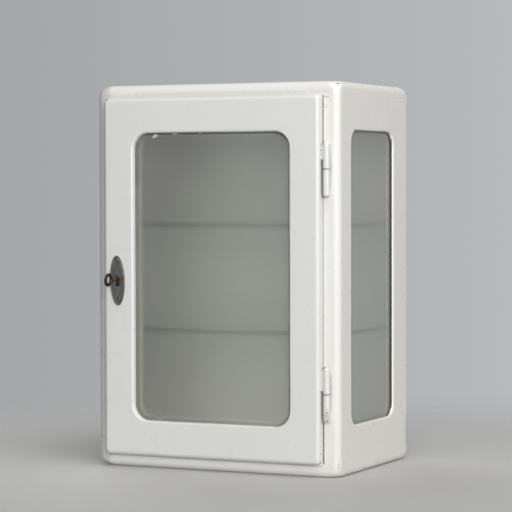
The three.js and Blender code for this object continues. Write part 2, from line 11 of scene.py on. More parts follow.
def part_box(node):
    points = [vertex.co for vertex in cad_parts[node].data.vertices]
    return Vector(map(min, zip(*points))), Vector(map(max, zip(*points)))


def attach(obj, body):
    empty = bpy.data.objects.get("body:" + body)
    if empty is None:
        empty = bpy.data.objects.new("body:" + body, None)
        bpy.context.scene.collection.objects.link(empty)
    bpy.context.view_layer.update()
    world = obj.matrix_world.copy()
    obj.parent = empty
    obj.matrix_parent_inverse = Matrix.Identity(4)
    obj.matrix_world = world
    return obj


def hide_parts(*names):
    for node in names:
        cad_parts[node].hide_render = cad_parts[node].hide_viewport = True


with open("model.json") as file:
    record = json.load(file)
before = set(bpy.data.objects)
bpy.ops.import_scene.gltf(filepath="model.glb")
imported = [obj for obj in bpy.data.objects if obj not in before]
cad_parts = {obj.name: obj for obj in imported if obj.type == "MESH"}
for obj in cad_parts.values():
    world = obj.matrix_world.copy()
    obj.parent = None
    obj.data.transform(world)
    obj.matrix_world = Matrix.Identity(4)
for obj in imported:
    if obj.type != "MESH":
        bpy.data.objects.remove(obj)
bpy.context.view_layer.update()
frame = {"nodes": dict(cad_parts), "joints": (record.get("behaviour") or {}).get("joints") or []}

# Camera: its place, aim, roll and lens put the frame's edges where the photograph shows them
CAMERA_PLACE = Vector((1.5103, -3.1586, 0.4440))
CAMERA_AIM = Vector((0.0024, 0.0, 0.3297))
CAMERA_ROLL = math.radians(-0.13)
CAMERA_LENS_MM = 153.8
CAMERA_SENSOR_MM = 36.0
CAMERA_CLIP = (0.1, 100.0)

# Lamps: azimuth and elevation in degrees, distance and size in metres, level, colour, shown in reflections
LAMPS = {
    "top_lamp": (48, 70, 2.6, (1.4, 1.4), 0.40, (1.0, 0.98, 0.95), True),
    "side_lamp": (40, 14, 4.0, (3.6, 1.8), 0.625, (1.0, 0.99, 0.97), True),
    "back_lamp": (228, 16, 3.0, (2.0, 2.0), 0.48, (1.0, 1.0, 1.0), False),
}

# Sizes in metres that the frame's boxes don't give
SHEET = 0.0015
FIT = 0.0003
FOLD = 0.0006
BODY_EDGE = 0.011
BODY_CORNER_SPREAD = 0.019
BODY_CORNER_DEPTH = 0.018
BODY_WAVER = 0.00025
REAR_FLANGE = 0.026
OPENING_CORNER = 0.002
DOOR_EDGE = 0.006
DOOR_CORNER = 0.008
DOOR_FLANGE = 0.015
DOOR_WAVER = 0.0002
DOOR_WINDOW_CORNER = 0.025
DOOR_WINDOW_EDGE = 0.0035
SIDE_WINDOW_CORNER = 0.021
SIDE_WINDOW_EDGE = 0.0025
PANE_LAP = 0.008
PANE_CORNER = 0.004
PANE_EDGE = 0.0006
SIGHT_LAP = 0.006
RIB_LAP = 0.003
FRAME_CLEARANCE = 0.003
SHELF_CORNER = 0.004
SHELF_EDGE = 0.0022
BACK_CORNER = 0.002
BACK_EDGE = 0.0004
BACK_SWELL = 0.0012
BACK_SWELL_REACH = (0.02, 0.12)
HINGE_DOME = 0.004
HINGE_TANG_INSET = 0.005
HINGE_WELD_INSET = 0.014
HINGE_FRAME_TANG = 0.003
HINGE_DOOR_TANG = 0.0025
HINGE_BORE = 0.0033
HINGE_BORE_DEPTH = 0.020
TANG_FILLET = (0.0012, -0.0006)
TANG_STEP = 0.0004
RING_CLEARANCE = 0.0001
PIN_CHAMFER = 0.0007
KEYHOLE_RADIUS = 0.0043
KEYHOLE_RISE = 0.0013
KEY_SLOT_WIDTH = 0.0034
KEY_SLOT_DROP = 0.011
CUT_SPARE = 0.002
KEY_PLATE_SIZE = (0.026, 0.078)
KEY_PLATE_LEAN = math.radians(2)
KEY_PLATE_EDGE = 0.0005
KEY_TURN = math.radians(6)
KEY_BOW_RADIUS = 0.0082
KEY_WIRE = 0.0025
KEY_STEM = 0.0025
KEY_STEM_TIP = (0.0010, 0.0009)
KEY_COLLAR = 0.0036
KEY_BIT_THICKNESS = 0.0024
KEY_BIT_PLACE = (-0.13975, -0.13275)
KEY_BIT_REACH = 0.0095
KEY_GRAIN = 0.00028
PAN_HEAD = (0.0028, 0.0018)
SUNK_HEAD = (0.0032, 0.0013)
SUNK_DOME = 0.0009
SUNK_RIM = 0.0002
HEAD_CHAMFER = (0.0001, 0.0002)
SCREW_SHANK = 0.0015
SCREW_POINT = 0.0008
SCREW_TIP = 0.0001
SLOT_WIDTH = 0.0008
SLOT_DEPTH = 0.0008
FRAME_BEVEL = 0.0004
HOLDER_BEVEL = 0.0005
CASE_BEVEL = 0.0005
COVER_BEVEL = 0.0003
BOLT_BEVEL = 0.0004
BRACKET_BEVEL = 0.0006

# Shallow line round the keyhole plate's face, as (distance in from the rim, depth)
PLATE_LINE = ((0.0013, 0.0), (0.0016, 0.00025), (0.0020, 0.00025), (0.0023, 0.0))
# Collar of the key, as (distance along the stem, radius)
COLLAR_PROFILE = ((0.0035, KEY_STEM), (0.0040, KEY_COLLAR), (0.0060, KEY_COLLAR), (0.0065, KEY_STEM))
# Dent in the body's rear edge: its centre, its reach along each axis, and how far it is pushed
REAR_DENT = ((0.2085, 0.1418, 0.044), (0.012, 0.012, 0.020), (-0.0012, -0.0026, 0.0))

# Shares of a size: the bit's teeth and root, a screw's point, a pan head's upright and flat parts,
# and the tip of a hinge pin by its chamfer
BIT_TOOTH = 0.36
BIT_ROOT = 0.62
SCREW_POINT_SHARE = 0.5
PAN_UPRIGHT = 0.35
PAN_FLAT = 0.45
PIN_TIP = 1.6

# Turn of a screw's slot in degrees, for each number and for each letter of the family's name
SLOT_TURN = (37, 11)

# Seed of the noise that moves points, which the clock would set otherwise
NOISE_SEED = 5
# Scale and shift of the waves in sheet metal, and what the shift counts for along each axis. The back has
# a scale alone.
BODY_WAVES = (9.0, 3.1)
DOOR_WAVES = (11.0, 7.7)
BACK_WAVES = 7.0
WAVE_WAYS = (1.0, 2.3, 0.7)

# Fineness of meshes
CORNER_STEPS = 8
SIDE_STEPS = 44
END_CROWD = 0.8
EDGE_STEPS = 8
GROUND_STEPS = 4
HEAD_STEPS = 6
PLATE_EDGE_STEPS = 5
FACE_RINGS = 8
WALL_RINGS = 2
BACK_RINGS = 14
TANG_ROWS = 4
TURN_STEPS = 48
SCREW_STEPS = 32
WIRE_STEPS = 20
PLATE_STEPS = 96
BEVEL_STEPS = 2
COPY_BEVEL_STEPS = 3
KEY_SMOOTHING = 2
WELD = 0.000002
FLAT = math.radians(1)
CREASE = math.radians(38)

# Names that repeat, directions, and places taken from the frame
LEVELS = ("upper", "lower")
ACROSS = (1.0, 0.0, 0.0)
UP = (0.0, 0.0, 1.0)
BODY_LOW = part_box("bottom_pan")[0]
BODY_HIGH = Vector((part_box("bottom_pan")[1].x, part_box("bottom_pan")[1].y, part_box("top_pan")[1].z))
DOOR_LOW, DOOR_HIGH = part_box("door_panel")
JOINTS = {joint["name"]: joint for joint in frame["joints"]}
HINGE_AXIS = Vector(JOINTS["door_swing"]["pos_m"])
KEY_AXIS = Vector(JOINTS["key_turn"]["pos_m"])


def grow(rect, by):
    u0, v0, u1, v1 = rect
    return (u0 - by, v0 - by, u1 + by, v1 + by)


def front_rect(node):
    low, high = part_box(node)
    return (low.x, low.z, high.x, high.z)


def side_rect(node):
    low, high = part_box(node)
    return (low.y, low.z, high.y, high.z)


DOOR_RECT = front_rect("door_panel")
DOOR_WINDOW = grow(front_rect("door_pane"), -PANE_LAP)
SIDE_WINDOW = grow(side_rect("right_pane"), -PANE_LAP)
FRONT_OPENING = grow(front_rect("door_inner_frame"), FRAME_CLEARANCE)


# Outlines, and the planes that they lie in
def corner_arcs(core, radius):
    """Quarter arcs about the corners of a rectangle, in order round it."""
    u0, v0, u1, v1 = core
    arcs = []
    for u, v, start in ((u1, v0, -90), (u1, v1, 0), (u0, v1, 90), (u0, v0, 180)):
        angles = [math.radians(start + 90 * step / CORNER_STEPS) for step in range(CORNER_STEPS + 1)]
        arcs.append([(u + radius * math.cos(a), v + radius * math.sin(a)) for a in angles])
    return arcs


def outline(rect, radius):
    """Points once round a rectangle with round corners, as many for any size and radius."""
    arcs = corner_arcs(grow(rect, -radius), radius)
    points = []
    for arc, following in zip(arcs, arcs[1:] + arcs[:1]):
        points += arc
        points += between(arc[-1], following[0])[1:-1]
    return points


def between(start, end):
    """Points along a line, closer together towards its ends."""
    points = []
    for step in range(SIDE_STEPS + 1):
        share = step / SIDE_STEPS
        share -= END_CROWD * math.sin(2 * math.pi * share) / (2 * math.pi)
        points.append(tuple(a + (b - a) * share for a, b in zip(start, end)))
    return points


def stations(start, end):
    """Distances from start to end, closer together towards both."""
    return [point[0] for point in between((start,), (end,))]


def oval(centre, radius_u, radius_v, lean, steps):
    points = []
    for step in range(steps):
        angle = 2 * math.pi * step / steps
        u = radius_u * math.cos(angle)
        v = radius_v * math.sin(angle)
        points.append((
            centre[0] + u * math.cos(lean) - v * math.sin(lean),
            centre[1] + u * math.sin(lean) + v * math.cos(lean),
        ))
    return points


def circle(centre, radius, steps):
    return oval(centre, radius, radius, 0.0, steps)


def facing_front(points, y):
    return [Vector((u, y, v)) for u, v in points]


def facing_side(points, x):
    return [Vector((x, u, v)) for u, v in points]


def facing_up(points, z):
    return [Vector((u, v, z)) for u, v in points]


def loop(plane, rect, corner, out, depth):
    """A rectangle's outline, grown by out, in a plane at a depth."""
    return plane(outline(grow(rect, out), corner + out), depth)


door_loop = partial(loop, facing_front, DOOR_RECT, DOOR_CORNER)
door_window_loop = partial(loop, facing_front, DOOR_WINDOW, DOOR_WINDOW_CORNER)
side_window_loop = partial(loop, facing_side, SIDE_WINDOW, SIDE_WINDOW_CORNER)


def bridge(start, end, count):
    """Rows of points that lead from one row to another, with both of them and count rows in between."""
    rows = [start]
    for step in range(1, count + 1):
        rows.append([a.lerp(b, step / (count + 1)) for a, b in zip(start, end)])
    return rows + [end]


def quarter(steps=EDGE_STEPS):
    return [math.radians(90 * step / steps) for step in range(steps + 1)]


def window_lip(window_loop, edge, face, inwards, lip_end):
    """Rows from a face round the bend of a window's edge to the end of its lip."""
    rows = []
    for angle in quarter():
        depth = edge * (1 - math.cos(angle))
        rows.append(window_loop(edge * (1 - math.sin(angle)), face + inwards * depth))
    return rows + [window_loop(0.0, lip_end)]


def smooth(low, high, value):
    share = min(max((value - low) / (high - low), 0.0), 1.0)
    return share * share * (3 - 2 * share)


class Skin:
    """A mesh sewn from strips of quads. Each point carries how far its enamel is worn."""

    def __init__(self):
        self.mesh = bmesh.new()
        self.wear = self.mesh.verts.layers.float.new("wear")

    def strip(self, rows, closed=True, wear=0.0):
        made = []
        for points in rows:
            made.append([self.mesh.verts.new(point) for point in points])
            for vert in made[-1]:
                vert[self.wear] = wear
        for low, high in zip(made, made[1:]):
            count = len(low)
            for index in range(count if closed else count - 1):
                after = (index + 1) % count
                self.mesh.faces.new((low[index], low[after], high[after], high[index]))

    def cap(self, points):
        self.mesh.faces.new([self.mesh.verts.new(point) for point in points])

    def close(self, rows):
        """Caps the first and the last row, and sews the mesh."""
        self.cap(rows[0])
        self.cap(rows[-1])
        self.sew()

    def fill(self, loops):
        """A flat face with holes, from its outer loop and the loops of the holes."""
        edges = []
        for points in loops:
            verts = [self.mesh.verts.new(point) for point in points]
            for first, second in zip(verts, verts[1:] + verts[:1]):
                edges.append(self.mesh.edges.new((first, second)))
        bmesh.ops.triangle_fill(self.mesh, use_beauty=True, use_dissolve=False, edges=edges)

    def turned(self, base, along, profile, steps=TURN_STEPS):
        """A turned form. The profile gives (distance along the axis, radius) from end to end."""
        along = Vector(along).normalized()
        side = along.orthogonal().normalized()
        other = along.cross(side)
        rows = []
        for distance, radius in profile:
            middle = Vector(base) + along * distance
            rows.append([middle + side * u + other * v for u, v in circle((0, 0), radius, steps)])
        self.strip(rows)
        return rows

    def block(self, low, high):
        """A closed box, eight points and six faces."""
        corners = [
            self.mesh.verts.new((x, y, z))
            for x in (low[0], high[0]) for y in (low[1], high[1]) for z in (low[2], high[2])
        ]
        for face in ((0, 1, 3, 2), (4, 6, 7, 5), (0, 4, 5, 1), (2, 3, 7, 6), (0, 2, 6, 4), (1, 5, 7, 3)):
            self.mesh.faces.new([corners[index] for index in face])

    def sew(self):
        bmesh.ops.remove_doubles(self.mesh, verts=self.mesh.verts, dist=WELD)
        bmesh.ops.dissolve_degenerate(self.mesh, edges=self.mesh.edges, dist=WELD)
        bmesh.ops.recalc_face_normals(self.mesh, faces=self.mesh.faces)

    def bevel(self, width, steps=BEVEL_STEPS):
        sharp = [e for e in self.mesh.edges if len(e.link_faces) == 2 and e.calc_face_angle() > CREASE]
        bmesh.ops.bevel(self.mesh, geom=sharp, offset=width, segments=steps, profile=0.5, affect="EDGES",
                        clamp_overlap=True)

    def waver(self, amount, scale, shift):
        """Moves every point a little, as hand-made sheet metal wavers."""
        offset = Vector([shift * way for way in WAVE_WAYS])
        for vert in self.mesh.verts:
            vert.co += noise.noise_vector(vert.co * scale + offset) * amount

    def dent(self, centre, reach, push):
        """Pushes the surface in round a place. The reach is given along each axis."""
        for vert in self.mesh.verts:
            offset = vert.co - Vector(centre)
            distance = Vector((offset.x / reach[0], offset.y / reach[1], offset.z / reach[2])).length
            vert.co += Vector(push) * math.exp(-(distance ** 2))

    def to_mesh(self, name):
        for edge in self.mesh.edges:
            edge.smooth = len(edge.link_faces) != 2 or edge.calc_face_angle() < CREASE
        for face in self.mesh.faces:
            face.smooth = True
        mesh = bpy.data.meshes.new(name)
        self.mesh.to_mesh(mesh)
        self.mesh.free()
        return mesh


def add_object(name, data):
    item = bpy.data.objects.new(name, data)
    bpy.context.scene.collection.objects.link(item)
    return item


def piece(name, form, material, body, slot, *replaced):
    """A visible piece, from a skin or a finished mesh."""
    mesh = form.to_mesh(name) if isinstance(form, Skin) else form
    item = add_object(name, mesh)
    mesh.materials.clear()
    mesh.materials.append(material)
    weighted = item.modifiers.new("even_normals", "WEIGHTED_NORMAL")
    weighted.keep_sharp = True
    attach(item, body)
    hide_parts(*replaced)


def evaluated(item):
    return bpy.data.meshes.new_from_object(item.evaluated_get(bpy.context.evaluated_depsgraph_get()))


def cut_away(mesh, cutter):
    """The mesh with a closed cutter mesh taken out of it."""
    item = add_object("cut_blank", mesh)
    tool = add_object("cutter", cutter)
    modifier = item.modifiers.new("cut", "BOOLEAN")
    modifier.operation = "DIFFERENCE"
    modifier.solver = "EXACT"
    modifier.object = tool
    result = evaluated(item)
    for used in (item, tool):
        bpy.data.objects.remove(used)
    return result


def fused(mesh, grain, rounds):
    """Overlapping closed shells made into one skin with softened edges."""
    item = add_object("fuse_blank", mesh)
    remesh = item.modifiers.new("fuse", "REMESH")
    remesh.mode = "VOXEL"
    remesh.voxel_size = grain
    remesh.use_smooth_shade = True
    soften = item.modifiers.new("soften", "SMOOTH")
    soften.factor = 0.5
    soften.iterations = rounds
    result = evaluated(item)
    bpy.data.objects.remove(item)
    return result


# Finishes
class Nodes:
    """A node tree of a material or the world, built from a few plain helpers."""

    def __init__(self, owner, output, place):
        owner.use_nodes = True
        self.tree = owner.node_tree
        self.tree.nodes.clear()
        self.output = self.tree.nodes.new(output)
        self.place = self.node("TexCoord", {}, place)

    def put(self, socket, value):
        if isinstance(value, bpy.types.NodeSocket):
            self.tree.links.new(value, socket)
        else:
            socket.default_value = value

    def node(self, kind, inputs, output=0, **settings):
        """Adds a node with its settings and inputs, and gives one of its outputs."""
        node = self.tree.nodes.new("ShaderNode" + kind)
        for name, value in settings.items():
            setattr(node, name, value)
        for key, value in inputs.items():
            self.put(node.inputs[key], value)
        return node.outputs[output]

    def show(self, surface):
        self.put(self.output.inputs["Surface"], surface)

    def math(self, operation, first, second=0.0):
        return self.node("Math", {0: first, 1: second}, operation=operation)

    def times(self, first, second):
        return self.math("MULTIPLY", first, second)

    def most(self, first, second):
        return self.math("MAXIMUM", first, second)

    def vector(self, operation, first, second=(0.0, 0.0, 0.0)):
        output = "Value" if operation in ("LENGTH", "DOT_PRODUCT") else "Vector"
        return self.node("VectorMath", {0: first, 1: second}, output, operation=operation)

    def along(self, axis):
        """How far a place lies along an axis."""
        return self.vector("DOT_PRODUCT", self.place, axis)

    def mapped(self, value, low, high, to_low=0.0, to_high=1.0, kind="SMOOTHSTEP"):
        reach = {"Value": value, "From Min": low, "From Max": high, "To Min": to_low, "To Max": to_high}
        return self.node("MapRange", reach, "Result", interpolation_type=kind)

    def mix(self, share, first, second):
        return self.node("Mix", {0: share, 6: first, 7: second}, 2, data_type="RGBA")


class Finish(Nodes):
    """A node material with one Principled shader."""

    def __init__(self, name):
        self.material = bpy.data.materials.new(name)
        super().__init__(self.material, "ShaderNodeOutputMaterial", "Object")
        self.shader = self.tree.nodes.new("ShaderNodeBsdfPrincipled")
        self.show(self.shader.outputs["BSDF"])

    def set(self, **values):
        """Sets shader inputs, given with _ for a space and in lower case."""
        sockets = {socket.name.lower().replace(" ", "_"): socket for socket in self.shader.inputs}
        for name, value in values.items():
            self.put(sockets[name], value)

    def noise(self, scale, detail=2.0, roughness=0.5, vector=None):
        inputs = {"Vector": vector or self.place, "Scale": scale, "Detail": detail, "Roughness": roughness}
        return self.node("TexNoise", inputs, "Fac")

    def patchy(self, pattern, low=0.0, high=1.0):
        """Noise from low to high. The pattern is its scale, detail, roughness, and the reach that counts."""
        scale, detail, roughness, start, end = pattern
        return self.mapped(self.noise(scale, detail, roughness), start, end, low, high)

    def facing(self, axis):
        """How far a surface faces along an axis, whichever way round."""
        normal = self.node("NewGeometry", {}, "Normal")
        return self.math("ABSOLUTE", self.vector("DOT_PRODUCT", normal, axis))

    def rough_edge(self, grain, amount):
        return self.times(self.math("SUBTRACT", self.noise(grain, EDGE_DETAIL), 0.5), 2 * amount)

    def blots(self, places, ragged, grain):
        """One mask for round ragged blots, each a (centre, half size along each axis)."""
        mask = 0.0
        rough = self.rough_edge(grain, ragged)
        for centre, size in places:
            scaled = self.vector("DIVIDE", self.vector("SUBTRACT", self.place, centre), size)
            distance = self.math("ADD", self.vector("LENGTH", scaled), rough)
            mask = self.most(self.mapped(distance, *BLOT_SOFT), mask)
        return mask

    def strips(self, places, grain):
        """One mask for straight-sided strips, each a (centre, half size along each axis)."""
        mask = 0.0
        rough = self.rough_edge(grain, STRIP_RAGGED)
        for centre, size in places:
            reach = self.vector("ABSOLUTE", self.vector("SUBTRACT", self.place, centre))
            parts = self.tree.nodes.new("ShaderNodeSeparateXYZ")
            self.put(parts.inputs[0], self.vector("SUBTRACT", reach, size))
            outside = self.most(self.most(parts.outputs[0], parts.outputs[1]), parts.outputs[2])
            outside = self.math("ADD", outside, rough)
            mask = self.most(self.mapped(outside, STRIP_SOFT, -STRIP_SOFT), mask)
        return mask

    def let_lamps_through(self, share):
        """Lets lamp light pass straight through each surface, so that panes light what lies behind them."""
        clear = self.node("BsdfTransparent", {"Color": share})
        shadow = self.node("LightPath", {}, "Is Shadow Ray")
        self.show(self.node("MixShader", {0: shadow, 1: self.shader.outputs["BSDF"], 2: clear}))

    def bump(self, height, distance, strength):
        inputs = {"Strength": strength, "Distance": distance, "Height": height}
        self.set(normal=self.node("Bump", inputs, "Normal"))


def rgb(red, green, blue):
    return (red, green, blue, 1.0)


BODY_WHITE = rgb(0.815, 0.816, 0.800)
BODY_CREAM = rgb(0.798, 0.784, 0.748)
DOOR_WHITE = rgb(0.765, 0.773, 0.762)
DOOR_CREAM = rgb(0.742, 0.742, 0.717)
SEAT_WHITE = rgb(0.70, 0.702, 0.685)
ENAMEL_GREY = rgb(0.60, 0.60, 0.58)
RUST = rgb(0.105, 0.052, 0.026)
PRIMER = rgb(0.30, 0.235, 0.17)
SOOT_AND_KEYHOLE_SHADE = rgb(0.024, 0.019, 0.015)
GAP_SHADE_TONE = rgb(0.13, 0.12, 0.105)
DUST_AND_SHADE_TONE = rgb(0.355, 0.344, 0.320)
STEM_BROWN = rgb(0.17, 0.115, 0.06)
SHELF_FACE = (rgb(0.72, 0.80, 0.75), rgb(0.76, 0.80, 0.76))
SHELF_RIM = rgb(0.075, 0.105, 0.088)

# Softness and raggedness of marks: blots by share of their size, strips in metres, and the detail of the
# noise along their edges
BLOT_SOFT = (1.05, 0.6)
STRIP_SOFT = 0.0004
STRIP_RAGGED = 0.0004
EDGE_DETAIL = 3.0

# Patterns of noise: scale, detail, roughness, and the reach of the noise that counts
CLOUDS = (4.0, 2.0, 0.5, 0.35, 0.75)
MOTTLE = (75.0, 2.0, 0.5, 0.5, 0.85)
SPECKS = (330.0, 3.0, 0.6, 0.66, 0.72)
WORN_PATCHES = (16.0, 2.0, 0.5, 0.56, 0.72)
RUSTY_PATCHES = (190.0, 3.0, 0.5, 0.35, 0.65)
SHINE = (30.0, 2.0, 0.5, 0.3, 0.75)
HAZE = (14.0, 4.0, 0.5, 0.3, 0.7)
FROST = (40.0, 3.0, 0.5, 0.3, 0.7)
SHELF_DUST = (60.0, 4.0, 0.5, 0.4, 0.8)
SHELF_POLISH = (35.0, 3.0, 0.5, 0.3, 0.7)

# Enamel: shares by the way that a surface faces, as (facing from, to, share from, to), and other amounts.
# The bump is given by distance and strength, peel and swell by scale and height.
# Surfaces facing along x are painted creamier and a little darker: painted light and shade on the sides
PAINTED_SIDE_TONE = (0.5, 1.0, 0.0, 0.85)
MATT_TOPS = (0.7, 0.98, 0.0, 0.9)
AGED_CLOUDS = 0.4
ENAMEL_SPECULAR = 0.42
ENAMEL_GLOSS = (0.27, 0.34)
DULL_ROUGHNESS = 0.5
ENAMEL_BUMP = (0.0004, 0.5)
PEEL = (210.0, 0.10)
SWELL = (26.0, 0.42)
CHIP_DEPTH = 0.4
LUMP_HEIGHT = 1.2

# Layers on enamel from below: kind, raggedness of blots or none for strips, grain, share and colour.
# The shade above the door, the seam shade and the gap shade are painted shade; dust and soot also paint shade
# in some places.
ENAMEL_LAYERS = (
    ("shade_above_door", 0.35, 90.0, 0.22, DUST_AND_SHADE_TONE),
    ("mottle", None, None, 0.04, ENAMEL_GREY),
    ("dust_and_shade", 0.35, 90.0, 0.4, DUST_AND_SHADE_TONE),
    ("seam_shade", None, 120.0, 0.6, DUST_AND_SHADE_TONE),
    ("gap_shade", None, 150.0, 0.85, GAP_SHADE_TONE),
    ("soot_and_keyhole_shade", None, 240.0, 0.97, SOOT_AND_KEYHOLE_SHADE),
)
# Raggedness and grain of the blots that are chipped, raised or pressed in, and of paint on glass
CHIP_BLOTS = (0.5, 260.0)
LUMP_BLOTS = (0.25, 160.0)
GROOVE_BLOTS = (0.2, 160.0)
PAINT_BLOTS = (0.4, 320.0)


def enamel(name, white, cream, marks, wear, uneven, gloss=ENAMEL_GLOSS):
    """Old gloss enamel: faint mottling, worn specks along the edges, chips down to the steel."""
    finish = Finish(name)
    # Painted side tone by the way a surface faces along x, with random clouds of cream over it
    side_tone_and_clouds = finish.mapped(finish.facing(ACROSS), *PAINTED_SIDE_TONE)
    side_tone_and_clouds = finish.most(side_tone_and_clouds, finish.patchy(CLOUDS, 0.0, AGED_CLOUDS))
    colour = finish.mix(side_tone_and_clouds, white, cream)
    matt = finish.mapped(finish.facing(UP), *MATT_TOPS)
    for kind, ragged, grain, share, tone in ENAMEL_LAYERS:
        if kind == "mottle":
            mask = finish.patchy(MOTTLE)
        elif kind not in marks:
            continue
        elif ragged:
            mask = finish.blots(marks[kind], ragged, grain)
        else:
            mask = finish.strips(marks[kind], grain)
        colour = finish.mix(finish.times(mask, share), colour, tone)
        if kind == "soot_and_keyhole_shade":
            matt = finish.most(matt, mask)
    worn = finish.times(finish.patchy(SPECKS), finish.patchy(WORN_PATCHES))
    worn = finish.times(finish.node("Attribute", {}, "Fac", attribute_name="wear"), worn)
    chipped = finish.times(worn, wear)
    if "chips" in marks:
        chipped = finish.most(chipped, finish.blots(marks["chips"], *CHIP_BLOTS))
    steel = finish.mix(finish.patchy(RUSTY_PATCHES), RUST, PRIMER)
    finish.set(base_color=finish.mix(chipped, colour, steel), specular_ior_level=ENAMEL_SPECULAR)
    dull = finish.times(finish.most(matt, chipped), DULL_ROUGHNESS)
    finish.set(roughness=finish.math("ADD", finish.patchy(SHINE, *gloss), dull))
    peel, swell = [finish.times(finish.noise(scale), rise * uneven) for scale, rise in (PEEL, SWELL)]
    height = finish.math("SUBTRACT", finish.math("ADD", peel, swell), finish.times(chipped, CHIP_DEPTH))
    if "lumps" in marks:
        lumpy = finish.blots(marks["lumps"], *LUMP_BLOTS)
        height = finish.math("ADD", height, finish.times(lumpy, LUMP_HEIGHT))
    if "grooves" in marks:
        height = finish.math("SUBTRACT", height, finish.blots(marks["grooves"], *GROOVE_BLOTS))
    finish.bump(height, *ENAMEL_BUMP)
    return finish.material


# Glass: share of lamp light that passes each surface, drift of the tint along x as painted shade that darkens
# it towards the left, and amounts. Each bump is given by scale, distance and strength.
FROST_PASSES = rgb(0.76, 0.77, 0.75)
SHELF_PASSES = rgb(0.82, 0.85, 0.83)
TINT_NOISE = (9.0, 3.0)
TINT_DRIFT = 0.03
PAINTED_SHADE_REACH = (-0.10, 0.09)
FROST_CLEAR = (0.93, 0.92)
FROST_UNEVEN = 0.02
FROST_IOR = 1.45
FROST_BUMP = (900.0, 0.00002, 0.1)
SHELF_EDGE_FACING = (0.9, 0.6)
SHELF_CLEAR = (0.97, 0.25)
SHELF_IOR = 1.5
SHELF_ROUGH = (0.03, 0.1)
SHELF_EDGE_ROUGH = 0.25
SHELF_BUMP = (240.0, 0.00005, 0.2)


def frosted_glass(name, deep, pale, rough, paint=()):
    """Etched pane: grey green, rough enough to blur what lies behind, hazy, with stray paint on it, and its
    tint painted darker towards the left as shade.
    """
    finish = Finish(name)
    # Painted shade: the tint darkens towards the left across the pane
    shade_drift = finish.math("ADD", finish.along(ACROSS), finish.times(finish.noise(*TINT_NOISE), TINT_DRIFT))
    tint = finish.mix(finish.mapped(shade_drift, *PAINTED_SHADE_REACH), deep, pale)
    haze = finish.patchy(HAZE, *FROST_CLEAR)
    frost = finish.patchy(FROST, rough - FROST_UNEVEN, rough + FROST_UNEVEN)
    if paint:
        mark = finish.blots(paint, *PAINT_BLOTS)
        tint = finish.mix(mark, tint, ENAMEL_GREY)
        haze = finish.times(haze, finish.math("SUBTRACT", 1.0, mark))
    finish.set(base_color=tint, transmission_weight=haze, ior=FROST_IOR, roughness=frost)
    finish.bump(finish.noise(FROST_BUMP[0]), *FROST_BUMP[1:])
    finish.let_lamps_through(FROST_PASSES)
    return finish.material


def shelf_glass(name):
    """Plain shelf glass: dusty faces, and ground edges that look dark green."""
    finish = Finish(name)
    face = finish.mix(finish.patchy(SHELF_DUST), *SHELF_FACE)
    edge = finish.mapped(finish.facing(UP), *SHELF_EDGE_FACING)
    finish.set(base_color=finish.mix(edge, face, SHELF_RIM), ior=SHELF_IOR)
    finish.set(transmission_weight=finish.mapped(edge, 0.0, 1.0, *SHELF_CLEAR))
    rough = finish.patchy(SHELF_POLISH, *SHELF_ROUGH)
    finish.set(roughness=finish.math("ADD", rough, finish.times(edge, SHELF_EDGE_ROUGH)))
    finish.bump(finish.noise(SHELF_BUMP[0]), *SHELF_BUMP[1:])
    finish.let_lamps_through(SHELF_PASSES)
    return finish.material


# Metal: patterns without their scale, scale and spread of the polish, fine scratches along z by scale and
# height, the bump by distance and strength
METAL_PATCHES = (4.0, 0.6, 0.35, 0.7)
METAL_POLISH = (3.0, 0.5, 0.3, 0.7)
POLISH_SCALE = 2.5
POLISH_SPREAD = (-0.08, 0.12)
SCRATCH_STRETCH = (1.0, 1.0, 0.12)
SCRATCHES = (1800.0, 0.25)
METAL_BUMP = (0.0001, 0.5)
STAIN_GRAIN = 240.0


def metal(name, light, dark, rough, grain=120.0, stains_and_shade=(), stain_and_shade_tone=None):
    """Bare worn metal: patchy tone, stains in given places, which on the plate are painted shade round the
    keyhole, fine scratches and an uneven polish.
    """
    finish = Finish(name)
    patches = finish.patchy((grain,) + METAL_PATCHES)
    colour = finish.mix(patches, light, dark)
    if stains_and_shade:
        colour = finish.mix(finish.strips(stains_and_shade, STAIN_GRAIN), colour, stain_and_shade_tone)
    spread = [rough + change for change in POLISH_SPREAD]
    polish = finish.patchy((grain * POLISH_SCALE,) + METAL_POLISH, *spread)
    finish.set(base_color=colour, metallic=1.0, roughness=polish)
    stretched = finish.vector("MULTIPLY", finish.place, SCRATCH_STRETCH)
    scratches = finish.times(finish.noise(SCRATCHES[0], vector=stretched), SCRATCHES[1])
    finish.bump(finish.math("ADD", patches, scratches), *METAL_BUMP)
    return finish.material


# Marks of age and painted shade: bare spots, soot, dust, creases and lumps of paint, and painted shade in the
# gaps, seams and keyhole, above the door, left of it and beside the hinges
def in_metres(*rows):
    """Centres and half sizes in metres, from rows of both along x, y and z in millimetres."""
    return [([size / 1000 for size in row[:3]], [size / 1000 for size in row[3:]]) for row in rows]


# Middle and half height of each hinge, and the axes of hinges and key, in millimetres
HINGE_SPANS = []
for level in LEVELS:
    span_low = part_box(level + "_hinge_frame_knuckle")[0].z * 1000
    span_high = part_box(level + "_hinge_door_knuckle")[1].z * 1000
    HINGE_SPANS.append(((span_low + span_high) / 2, (span_high - span_low) / 2))
HINGE_X, HINGE_Y, _ = HINGE_AXIS * 1000
KEY_X, _, KEY_Z = KEY_AXIS * 1000

